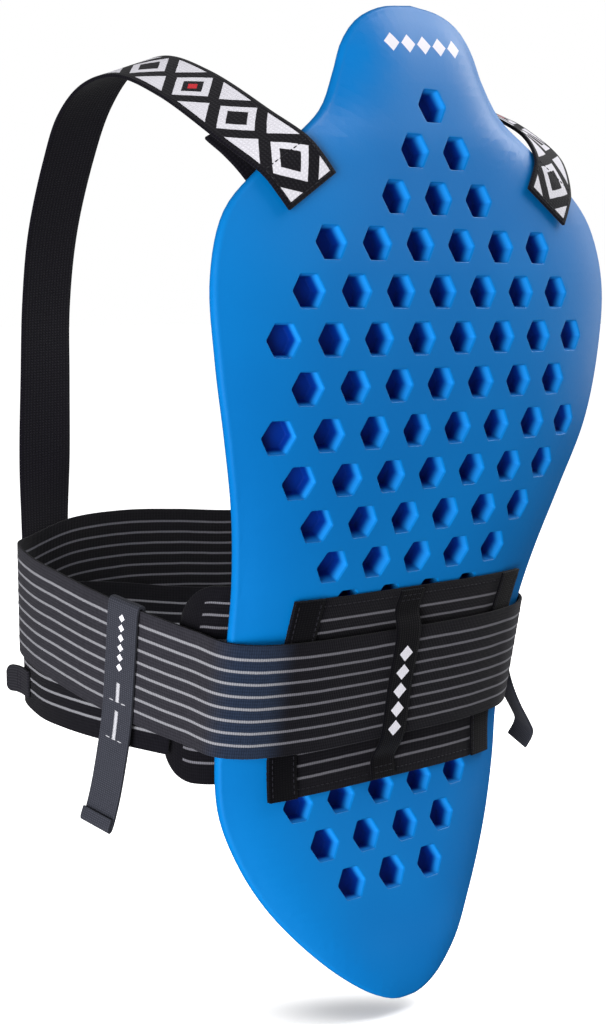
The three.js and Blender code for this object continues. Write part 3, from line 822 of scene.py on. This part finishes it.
class Finish:
    """A procedural material, or the world, and the steps that the finishes share."""

    def __init__(self, name, kind="materials"):
        self.owner = getattr(bpy.data, kind).new(name)
        self.owner.use_nodes = True
        self.tree = self.owner.node_tree
        self.tree.nodes.clear()

    def node(self, kind, settings=None, inputs=None, output=0):
        made = self.tree.nodes.new(kind)
        for name, value in (settings or {}).items():
            setattr(made, name, value)
        for name, value in (inputs or {}).items():
            if isinstance(value, Socket):
                self.tree.links.new(value.output, made.inputs[name])
            else:
                made.inputs[name].default_value = value
        return Socket(self, made.outputs[output]) if made.outputs else None

    def math(self, operation, *values):
        return self.node("ShaderNodeMath", {"operation": operation}, dict(enumerate(values)))

    def mix(self, factor, first, second):
        return self.node("ShaderNodeMix", {"data_type": "RGBA"}, {0: factor, 6: first, 7: second}, output=2)

    def object_place(self):
        return self.node("ShaderNodeTexCoord", output=3)

    def noise(self, scale, detail=2):
        inputs = {"Vector": self.object_place(), "Scale": scale, "Detail": detail}
        return self.node("ShaderNodeTexNoise", {}, inputs)

    def split(self, vector):
        """A vector's parts, in millimetres."""
        parts = self.node("ShaderNodeSeparateXYZ", {}, {0: vector}).output.node.outputs
        return [Socket(self, part) * (1 / MM) for part in parts]

    def cloth_place(self):
        """The way along and across a sheet, in millimetres."""
        along, across, _ = self.split(self.node("ShaderNodeUVMap", {"uv_map": "cloth"}))
        return along, across

    def diamonds(self, along, across, start, count, pitch, half):
        """1 in a row of diamonds and 0 round them."""
        reach = abs((along - start) % pitch - pitch / 2) + abs(across)
        return (reach < half) * (along > start) * (along < start + count * pitch)

    def woven(self, tones, pitches):
        """The way along and across a sheet, its weave, the weave's relief and its colour."""
        along, across = self.cloth_place()
        fuzz = self.noise(1400)
        weave = along.wave(pitches[0]) * across.wave(pitches[1])
        tone = self.mix(weave * 0.6 + fuzz * 0.4, *tones)
        return along, across, weave, weave * 0.8 + fuzz * 0.2, tone

    def bump(self, height, depth):
        """A normal from a height of 0 to 1 that stands for a depth in millimetres."""
        return self.node("ShaderNodeBump", {}, {"Height": height, "Distance": depth * MM, "Strength": 1.0})

    def surface(self, **inputs):
        named = {name.replace("_", " "): value for name, value in inputs.items()}
        shader = self.node("ShaderNodeBsdfPrincipled", {}, named)
        self.node("ShaderNodeOutputMaterial", {}, {"Surface": shader})
        return self.owner

    def cloth(self, base, roughness, normal, specular=0.2, sheen=0.04):
        return self.surface(Base_Color=base, Roughness=roughness, Normal=normal, Specular_IOR_Level=specular,
                            Sheen_Weight=sheen, Sheen_Roughness=0.5)


def colour(red, green, blue):
    """A colour from its sRGB values of 0 to 255."""
    linear = []
    for value in (red, green, blue):
        share = value / 255
        linear.append(share / 12.92 if share <= 0.04045 else ((share + 0.055) / 1.055) ** 2.4)
    return (*linear, 1)


# Foam's tones, a painted light on its pockets' upper walls and a painted shade down to their floors, and the
# depths down a pocket, as shares, over which the painted light and the painted shade set in
FOAM_SKIN = (colour(0, 104, 175), colour(0, 111, 183))
FOAM_PAINTED_WALL_LIGHT = colour(26, 128, 206)
FOAM_PAINTED_POCKET_SHADE = colour(0, 44, 134)
PAINTED_WALL_LIGHT_DEPTHS = (0.03, 0.15)
PAINTED_POCKET_SHADE_DEPTHS = (0.25, 0.7)
# Dark and light tones of each cloth and thread
ELASTIC_BLACK = (colour(4, 4, 7), colour(25, 24, 30))
ELASTIC_INSIDE = (colour(4, 4, 6), colour(24, 23, 28))
# Painted light on the belt: its tones where it is off the panel, and bluish where the foam lies under it
ELASTIC_PAINTED_LIGHT = (colour(17, 17, 21), colour(56, 55, 62))
ELASTIC_PAINTED_FOAM_LIGHT = (colour(14, 19, 28), colour(42, 53, 74))
TAPE_BLACK = (colour(4, 4, 6), colour(15, 14, 19))
TAPE_GREY = (colour(34, 35, 41), colour(74, 76, 86))
TAPE_TAB = (colour(18, 18, 22), colour(56, 55, 62))
WEBBING_BLACK = (colour(8, 7, 11), colour(26, 24, 32))
THREAD_BLACK = (colour(16, 16, 20), colour(44, 43, 50))
THREAD_PALE = (colour(150, 150, 156), colour(206, 206, 212))
# Single tones
STRIPE_GREY = colour(140, 140, 146)
# A darker copy of the stripes' grey: painted shade, on the belt over the panel, inside its loop, on the
# lumbar panel and on the kidney panel
STRIPE_SHADED_GREY = colour(108, 107, 114)
PRINT_WHITE = colour(222, 220, 228)
PRINT_RED = colour(190, 36, 46)

# Weave pitches along, how much wider they are across, and the printed webbing's pitches along and across
TAPE_WEAVE = 1.2
GREY_WEAVE = 1.1
WEBBING_WEAVE = 1.5
WEAVE_STRETCH = 1.3
PRINTED_WEAVE = (1.5, 2)


def foam_finish():
    """Moulded foam with a fine skin and a print on the neck tab, with painted light on its pockets' upper
    walls and painted shade down to their floors.
    """
    f = Finish("blue_foam")
    broad = f.noise(9)
    grain = f.noise(900)
    pits = f.noise(260, 3)
    depth = f.node("ShaderNodeAttribute", {"attribute_name": "pocket_depth"}, output=2)
    # Painted light on the pockets' upper walls and painted shade from there down to their floors, by depth
    wall = depth.between(*PAINTED_WALL_LIGHT_DEPTHS)
    shade = depth.between(*PAINTED_POCKET_SHADE_DEPTHS)
    skin = f.mix(broad.between(0.35, 0.7), *FOAM_SKIN)
    x, y, z = f.split(f.object_place())
    ink = f.diamonds(x, z - TAB_PRINT_Z, *TAB_PRINT) * (y < TAB_PRINT_FRONT)
    foam = f.mix(shade, f.mix(wall, skin, FOAM_PAINTED_WALL_LIGHT), FOAM_PAINTED_POCKET_SHADE)
    base = f.mix(ink, foam, PRINT_WHITE)
    normal = f.bump(grain * 0.6 + pits * 0.4, 0.05)
    return f.surface(Base_Color=base, Roughness=0.4 + 0.1 * broad + 0.2 * shade, Normal=normal,
                     Specular_IOR_Level=0.35)


def elastic_finish(name, margin, full, ends=None, painted_light_edges=None, ground=ELASTIC_BLACK, threads=STRIPE_GREY):
    """Striped elastic: pale threads run along a dark ribbed ground, between two ends if they are given. Where
    the places of the panel's ends and the foam are given, it has painted light, lighter off the panel and
    bluish over the foam, and painted shade over the panel, where its stripes are dimmer."""
    f = Finish(name)
    along, across = f.cloth_place()
    fuzz = f.noise(1500)
    patchy = f.noise(420, 3)
    drift = (f.noise(60) - 0.5) * STRIPE_DRIFT
    off = abs((across + drift + (STRIPE_PITCH / 2 - margin)) % STRIPE_PITCH - STRIPE_PITCH / 2)
    stripe = 1 - off.between(*(STRIPE_HALF_WIDTH * share for share in STRIPE_EDGE))
    stripe = stripe * (across > margin - STRIPE_PITCH / 2) * (across < full - margin + STRIPE_PITCH / 2)
    if ends:
        stripe = stripe * (along > ends[0]) * (along < ends[1])
    ribs = along.wave(RIB_PITCH)
    yarn = ribs * 0.6 + across.wave(WEFT_PITCH) * 0.4
    tone = yarn * 0.45 + fuzz * 0.2 + patchy * 0.35
    base = f.mix(tone, *ground)
    # Painted light off the panel and over the foam, and painted shade on the stripes over the panel
    if painted_light_edges:
        panel_end, foam, panel = (along.between(at - PAINTED_LIGHT_SOFT, at + PAINTED_LIGHT_SOFT) for at in painted_light_edges)
        painted_light_mask = panel_end * (1 - panel)
        painted_light_tone = f.mix(foam, f.mix(tone, *ELASTIC_PAINTED_LIGHT), f.mix(tone, *ELASTIC_PAINTED_FOAM_LIGHT))
        base = f.mix(painted_light_mask, base, painted_light_tone)
        threads = f.mix(painted_light_mask, STRIPE_SHADED_GREY, threads)
    base = f.mix(stripe * (0.6 + 0.4 * ribs), base, threads)
    normal = f.bump(yarn * 0.8 + fuzz * 0.2, 0.22)
    return f.cloth(base, 0.92 - 0.12 * stripe, normal, specular=0.15, sheen=0.05)


def webbing_finish(name, tones, pitch, width=0, row=None):
    """Plain woven webbing or tape, with a row of printed diamonds along its middle if one is given."""
    f = Finish(name)
    along, across, weave, relief, base = f.woven(tones, (pitch, pitch * WEAVE_STRETCH))
    if row:
        base = f.mix(f.diamonds(along, across - width / 2, *row), base, PRINT_WHITE)
    return f.cloth(base, 0.85 - 0.1 * weave, f.bump(relief, 0.2))


def printed_finish():
    """Black webbing with a bold white print of diamonds near the pad."""
    f = Finish("printed_webbing")
    along, across, weave, relief, ground = f.woven(WEBBING_BLACK, PRINTED_WEAVE)
    wander = (f.noise(300) - 0.5) * 0.5
    middle = abs(across - STRAP_WIDTH / 2)
    reach = abs(along % PRINT_PERIOD - PRINT_PERIOD / 2) + middle + wander
    edges = (*PRINT_RING, PRINT_CORNER)
    low, high, corner = (reach.between(edge - PRINT_SOFT, edge + PRINT_SOFT) for edge in edges)
    ring = low * (1 - high)
    length = PRINT_PERIOD * PRINT_CELLS
    inside = (middle < STRAP_WIDTH / 2 - PRINT_MARGIN) * (along > PRINT_MARGIN)
    inside = inside * (along < length - PRINT_MARGIN)
    ink = (ring + corner) * inside * (0.84 + 0.16 * weave)
    start = PRINT_PERIOD * PRINT_DOT_CELL
    dot = (reach < PRINT_DOT) * (along > start) * (along < start + PRINT_PERIOD)
    base = f.mix(dot, f.mix(ink, ground, PRINT_WHITE), PRINT_RED)
    return f.cloth(base, 0.85 - 0.12 * ink, f.bump(relief, 0.18))


def thread_finish(name, tones):
    f = Finish(name)
    twist = f.noise(2500)
    return f.surface(Base_Color=f.mix(twist, *tones), Roughness=0.55 + 0.2 * twist,
                     Normal=f.bump(twist, 0.05), Specular_IOR_Level=0.3)


# Lumbar panel, its tapes and the centre strip
def panel_sheet():
    width, height = PANEL_RIGHT - PANEL_LEFT, PANEL_TOP - PANEL_BOTTOM

    def place(along, up):
        relief = stripe_relief(up * height, PANEL_STRIPE_MARGIN, height)
        x, z = lerp(PANEL_LEFT, PANEL_RIGHT, along), lerp(PANEL_BOTTOM, PANEL_TOP, up)
        return on_pad(x, z, PAD_GAP + relief)

    return Sheet((width, height), PANEL_THICKNESS - STRIPE_RELIEF, place, OUTER_SIDE)


def binding_sheet(left):
    height = PANEL_TOP - PANEL_BOTTOM

    def place(along, across):
        return on_pad(left + BINDING_WIDTH * across, lerp(PANEL_TOP, PANEL_BOTTOM, along), BINDING_LIFT)

    return Sheet((height, BINDING_WIDTH), BINDING_THICKNESS, place, OUTER_SIDE)


def keeper_path():
    face = pad_outer(0, BELT_TOP_AT_PAD) - BELT_LIFT - BELT_THICKNESS - GAP
    top = belt_top(face)
    bottom = top - BELT_HEIGHT * belt_up(face).z

    def over_belt(z):
        return Vector((0, face + (top - z) * BELT_LEAN_AT_PAD, z))

    def over_panel(z):
        return on_pad(0, z, BINDING_LIFT)

    return [
        over_panel(PANEL_TOP - KEEPER_INSET),
        over_panel(top + KEEPER_UPPER_RAMP),
        over_belt(top + KEEPER_INSET),
        over_belt((top + bottom) / 2),
        over_belt(bottom - KEEPER_INSET),
        over_panel(bottom - KEEPER_LOWER_RAMP),
        over_panel(PANEL_BOTTOM + KEEPER_INSET),
    ]


def keeper_sheet():
    path = Curve(keeper_path(), centripetal=True)

    def place(along, across):
        return path.at(along) + Vector(((across - 0.5) * KEEPER_WIDTH, 0, 0))

    return Sheet((path.length, KEEPER_WIDTH), PANEL_THICKNESS, place, OUTER_SIDE)


def add_panel(elastic, tape, printed_tape, thread):
    panel = panel_sheet()
    panel.piece("panel_elastic", PANEL_STEPS, [elastic], "lumbar_panel", "elastic", "stretched",
                ["pad_foam"])
    seams = edge_seams(panel, PANEL_SEAM_INSET, BINDING_WIDTH)
    for side, left in (("left", PANEL_LEFT), ("right", PANEL_RIGHT - BINDING_WIDTH)):
        binding = binding_sheet(left)
        node = f"panel_binding_{side}"
        binding.piece(f"binding_tape_{side}", BINDING_STEPS, [tape], node, "webbing", "stretched",
                      ["panel_elastic"])
        seams += edge_seams(binding, TAPE_SEAM_INSET, TAPE_SEAM_INSET)
    keeper = keeper_sheet()
    keeper.piece("keeper_tape", KEEPER_STEPS, [printed_tape], "belt_keeper", "webbing", "stretched",
                 ["belt_elastic"])
    length = keeper.size[0]
    seams += seams_across(keeper, KEEPER_SEAMS, KEEPER_SEAM_INSET)
    seams += seams_across(keeper, [length - seam for seam in reversed(KEEPER_SEAMS)], KEEPER_SEAM_INSET)
    stitching("panel_stitching", seams, thread, "lumbar_panel")


# Belt, its closing end and its pull tab
def belt_sheet():
    def place(along, up):
        relief = stripe_relief(up * BELT_HEIGHT, BELT_STRIPE_MARGIN, BELT_HEIGHT)
        return belt_place(along, relief, (up - 1) * BELT_HEIGHT)

    return Sheet((belt.length, BELT_HEIGHT), BELT_THICKNESS - STRIPE_RELIEF, place, WEARER_SIDE)


def closure_sheet():
    start, end = CLOSURE_FRONT_SHARE, belt_left_at(CLOSURE_BACK_Y)
    drops = Curve([(drop, 0, 0) for drop in CLOSURE_DROPS])

    def place(along, up):
        drop = drops.point(along).x
        relief = stripe_relief(up * BELT_HEIGHT, CLOSURE_STRIPE_MARGIN, BELT_HEIGHT)
        out = relief - GAP - BELT_THICKNESS
        return belt_place(lerp(start, end, along), out, (up - 1) * BELT_HEIGHT - drop)

    size = ((end - start) * belt.length, BELT_HEIGHT)
    return Sheet(size, BELT_THICKNESS - STRIPE_RELIEF, place, LEFT_SIDE)


def pull_tab_sheet():
    share = belt_left_at(PULL_TAB_BACK_Y)
    point, away, rise, run = belt_frame(share)

    def place(along, up):
        free = 1 - along
        trim = corner_trim(free * PULL_TAB_LENGTH, PULL_TAB_CORNER, PULL_TAB_ROUNDING)
        height = lerp(trim - PULL_TAB_HEIGHT, -trim, up) - PULL_TAB_SAG * along * along
        spot = point - run * PULL_TAB_LENGTH * along + away * PULL_TAB_FLARE * along * along
        return spot + rise * (height - BELT_HEIGHT - PULL_TAB_DROP)

    return Sheet((PULL_TAB_LENGTH, PULL_TAB_HEIGHT), BELT_THICKNESS, place, away)


def add_belt(elastic, inside, closure_elastic, tape, thread):
    belt_sheet().piece("belt_elastic", BELT_STEPS, [elastic, inside], "waist_belt", "elastic", "stretched",
                       ["panel_elastic"])
    closure = closure_sheet()
    closure.piece("closure_elastic", CLOSURE_STEPS, [closure_elastic], "belt_closure", "elastic",
                  "stretched", ["belt_elastic"])
    tab = pull_tab_sheet()
    tab.piece("pull_tab_tape", PULL_TAB_STEPS, [tape], "closure_pull_tab", "webbing", "hung",
              ["closure_elastic"])
    seams = seams_across(tab, PULL_TAB_SEAMS, TAPE_SEAM_INSET)
    stitching("pull_tab_stitching", seams, thread, "closure_pull_tab", PULL_TAB_PITCH)


# Kidney panel
def kidney_sheet():
    last = KIDNEY_PAD_X[-1]
    half = [(x, x, 0) for x in KIDNEY_PAD_X] + [(x, last, forward) for x, forward in KIDNEY_WING]
    plan = [(-x, on, forward) for x, on, forward in reversed(half[1:])] + half
    middle = (KIDNEY_TOP + KIDNEY_BOTTOM) / 2
    run = Curve([(x, pad_inner(on, middle) + forward, 0) for x, on, forward in plan], centripetal=True)
    shape = Curve(plan)
    height = KIDNEY_TOP - KIDNEY_BOTTOM

    def place(along, up):
        trim = corner_trim(min(along, 1 - along) * run.length, KIDNEY_CORNER, KIDNEY_ROUNDING)
        z = lerp(KIDNEY_BOTTOM + trim, KIDNEY_TOP - trim, up)
        x, on, forward = shape.point(run.along(along))
        return Vector((x, pad_inner(on, z) + PAD_GAP + forward, z))

    return Sheet((run.length, height), KIDNEY_THICKNESS, place, WEARER_SIDE)


# Shoulder straps and their second layers
def ribbon_sheet(rows, width, mirrored):
    """A flat tape along places with the directions of its width."""
    side = -1 if mirrored else 1
    path = Curve([(side * p[0], p[1], p[2]) for p, _ in rows], centripetal=True)
    widths = Curve([(side * w[0], w[1], w[2]) for _, w in rows])

    @lru_cache(maxsize=None)
    def axes(along):
        t = path.along(along)
        run = path.direction(along)
        across = widths.point(t)
        return path.point(t), (across - run * across.dot(run)).normalized(), run

    def place(along, across):
        point, wide, _ = axes(along)
        return point + wide * (across - 0.5) * width

    _, wide, run = axes(0.5)
    return Sheet((path.length, width), STRAP_THICKNESS, place, side * wide.cross(run))


def strap_rows(side):
    rows = []
    for x, z in STRAP_ON_PAD[side]:
        normal = pad_normal(x, z)
        flat = Vector(STRAP_PAD_ACROSS)
        rows.append((on_pad(x, z) + normal * STRAP_PAD_LIFT, (flat - normal * flat.dot(normal)).normalized()))
    free = STRAP_SHOULDER[side] + STRAP_ROUTE
    return rows + [(place, Vector(width).normalized()) for place, width in free]


def under_tab_rows():
    behind = [(x, pad_inner(x, z) + UNDER_TAB_LIFT, z) for x, z in UNDER_TAB_ON_PAD]
    return [(place, STRAP_PAD_ACROSS) for place in UNDER_TAB_ROUTE + behind]


def add_straps(printed, webbing, thread):
    for side in ("left", "right"):
        mirrored = side == "right"
        strap = ribbon_sheet(strap_rows(side), STRAP_WIDTH, mirrored)
        strap.piece(f"shoulder_webbing_{side}", STRAP_STEPS, [printed, webbing], f"shoulder_strap_{side}",
                    "webbing", "hung", ["pad_foam", "belt_elastic"])
        tab = ribbon_sheet(under_tab_rows(), UNDER_TAB_WIDTH, mirrored)
        tab.piece(f"under_webbing_{side}", UNDER_TAB_STEPS, [webbing], f"strap_under_tab_{side}", "webbing",
                  "hung", ["pad_foam"])
        low, high = TAPE_SEAM_INSET, STRAP_WIDTH - TAPE_SEAM_INSET
        start, end = TAPE_SEAM_INSET, STRAP_SEAM_END
        box = [(start, low), (start, high), (end, high), (end, low), (start, low)]
        stitching(f"strap_stitching_{side}", [(strap, box)], thread, f"shoulder_strap_{side}")


# Connector straps
def connector_sheet(table, belt_y, mirrored):
    side = -1 if mirrored else 1
    point, away, rise, run = belt_frame(belt_left_at(belt_y))
    line = Curve([(out, up, 0) for out, up in table], centripetal=True)

    def place(along, across):
        out, up, _ = line.at(along)
        ahead = line.direction(along)
        out += ahead.y * CONNECTOR_THICKNESS / 2
        up -= ahead.x * CONNECTOR_THICKNESS / 2
        spot = point + away * out + rise * up + run * (across - 0.5) * CONNECTOR_WIDTH
        return Vector((side * spot.x, spot.y, spot.z))

    outward = Vector((side * away.x, away.y, away.z))
    return Sheet((line.length, CONNECTOR_WIDTH), CONNECTOR_THICKNESS, place, outward)


def add_connectors(tape, thread):
    straps = [("left", CONNECTOR_LEFT, CONNECTOR_LEFT_Y), ("right", CONNECTOR_RIGHT, CONNECTOR_RIGHT_Y)]
    for side, table, belt_y in straps:
        sheet = connector_sheet(table, belt_y, side == "right")
        node = f"connector_strap_{side}"
        sheet.piece(f"connector_tape_{side}", CONNECTOR_STEPS, [tape], node, "connector", "hung",
                    ["belt_elastic"])
        seams = []
        for start, end in CONNECTOR_TACKS:
            seams.append((sheet, bar_tack(start, end, CONNECTOR_WIDTH / 2)))
            seams += seams_across(sheet, [end], TACK_END_INSET)
        stitching(f"connector_tacks_{side}", seams, thread, node, TACK_PITCH)


# Camera, floor and light
def aim(thing, place, ahead):
    thing.location = place
    thing.rotation_mode = "QUATERNION"
    thing.rotation_quaternion = ahead.to_track_quat("-Z", "Y")
    bpy.context.scene.collection.objects.link(thing)


def add_camera():
    camera = bpy.data.objects.new("camera", bpy.data.cameras.new("camera"))
    level = math.cos(CAMERA_PITCH)
    ahead = Vector((math.sin(CAMERA_YAW) * level, math.cos(CAMERA_YAW) * level, -math.sin(CAMERA_PITCH)))
    aim(camera, CAMERA_PLACE, ahead)
    camera.data.sensor_width = SENSOR
    camera.data.lens = FOCAL_PIXELS / IMAGE_HEIGHT * SENSOR
    bpy.context.scene.camera = camera


def add_floor():
    f = Finish("pale_floor")
    x, y, _ = f.split(f.object_place())
    x, y = x - SHADE_PLACE[0], y - SHADE_PLACE[1]
    along = (x * math.cos(SHADE_TURN) + y * math.sin(SHADE_TURN)) * (1 / SHADE_STRETCH)
    across = y * math.cos(SHADE_TURN) - x * math.sin(SHADE_TURN)
    away = f.math("SQRT", along * along + across * across)
    (near, near_glow), (far, far_glow) = FLOOR_GLOW
    glow = f.mix(away.between(near, far), (near_glow,) * 3 + (1,), (far_glow,) * 3 + (1,))
    material = f.surface(Base_Color=(0.9, 0.9, 0.9, 1), Roughness=0.9, Specular_IOR_Level=0.1,
                         Emission_Color=glow, Emission_Strength=1)
    bm = bmesh.new()
    bmesh.ops.create_grid(bm, x_segments=1, y_segments=1, size=FLOOR_HALF)
    bmesh.ops.translate(bm, vec=(0, 0, FLOOR_Z), verts=bm.verts[:])
    floor = make_object("floor", bm, [material])
    floor.visible_diffuse = False
    floor.visible_glossy = False
    floor.visible_shadow = False


def add_softbox(name, place, power, reflected):
    """A soft light aimed at the pad. One that isn't reflected lights the part with no highlight."""
    data = bpy.data.lights.new(name, "AREA")
    data.shape = "RECTANGLE"
    data.size, data.size_y = SOFTBOX_SIZE
    data.energy = power
    light = bpy.data.objects.new(name, data)
    light.visible_glossy = reflected
    aim(light, place, -Vector(place))


def add_world():
    """White surroundings that light the part less than they show."""
    f = Finish("white_room", "worlds")
    seen = f.node("ShaderNodeLightPath", output="Is Camera Ray")
    strength = f.node("ShaderNodeMapRange", {}, {"Value": seen, "To Min": ROOM_FILL})
    glow = f.node("ShaderNodeBackground", {}, {"Color": (1, 1, 1, 1), "Strength": strength})
    f.node("ShaderNodeOutputWorld", {}, {"Surface": glow})
    f.owner.cycles_visibility.glossy = False
    bpy.context.scene.world = f.owner


def light_scene():
    add_world()
    for box in SOFTBOXES:
        add_softbox(*box)
    bpy.context.scene.view_settings.view_transform = "Standard"


def build():
    add_camera()
    tape = webbing_finish("black_tape", TAPE_BLACK, TAPE_WEAVE)
    webbing = webbing_finish("black_webbing", WEBBING_BLACK, WEBBING_WEAVE)
    keeper_tape = webbing_finish("printed_tape", TAPE_BLACK, TAPE_WEAVE, KEEPER_WIDTH, KEEPER_PRINT)
    grey_tape = webbing_finish("grey_tape", TAPE_GREY, GREY_WEAVE, CONNECTOR_WIDTH, CONNECTOR_PRINT)
    tab_tape = webbing_finish("tab_tape", TAPE_TAB, TAPE_WEAVE)
    dark_thread = thread_finish("dark_thread", THREAD_BLACK)
    pale_thread = thread_finish("pale_thread", THREAD_PALE)
    panel_height = PANEL_TOP - PANEL_BOTTOM
    panel_width = PANEL_RIGHT - PANEL_LEFT
    # Places along the belt where its painted light changes: past the panel's right end, onto the foam, and
    # back onto the panel
    painted_light_edges = (PANEL_RIGHT + PAINTED_LIGHT_PANEL_MARGIN, belt.length - BELT_SIDE[0][0] - PAINTED_LIGHT_FOAM_MARGIN,
               belt.length + PANEL_LEFT - PAINTED_LIGHT_PANEL_MARGIN)
    belt_elastic = elastic_finish("belt_elastic", BELT_STRIPE_MARGIN, BELT_HEIGHT, painted_light_edges=painted_light_edges)
    belt_inside = elastic_finish("belt_inside", BELT_STRIPE_MARGIN, BELT_HEIGHT, ground=ELASTIC_INSIDE,
                                 threads=STRIPE_SHADED_GREY)
    closure_elastic = elastic_finish("closure_elastic", CLOSURE_STRIPE_MARGIN, BELT_HEIGHT)
    panel_ends = (PANEL_STRIPE_INSET, panel_width - PANEL_STRIPE_INSET)
    panel_elastic = elastic_finish("panel_elastic", PANEL_STRIPE_MARGIN, panel_height, panel_ends,
                                   threads=STRIPE_SHADED_GREY)

    pad = make_piece("pad_foam", pad_mesh(), [foam_finish()], "pad")
    pad.modifiers.new("even_normals", "WEIGHTED_NORMAL")
    add_panel(panel_elastic, tape, keeper_tape, dark_thread)
    add_belt(belt_elastic, belt_inside, closure_elastic, tab_tape, dark_thread)
    kidney = kidney_sheet()
    length, height = kidney.size
    ends = (KIDNEY_END_MARGIN, length - KIDNEY_END_MARGIN)
    kidney_elastic = elastic_finish("kidney_elastic", KIDNEY_STRIPE_MARGIN, height, ends,
                                    ground=ELASTIC_INSIDE, threads=STRIPE_SHADED_GREY)
    kidney.piece("kidney_elastic", KIDNEY_STEPS, [kidney_elastic], "kidney_panel", "elastic", "stretched",
                 ["pad_foam"])
    add_straps(printed_finish(), webbing, dark_thread)
    add_connectors(grey_tape, pale_thread)
    add_floor()
    light_scene()


build()
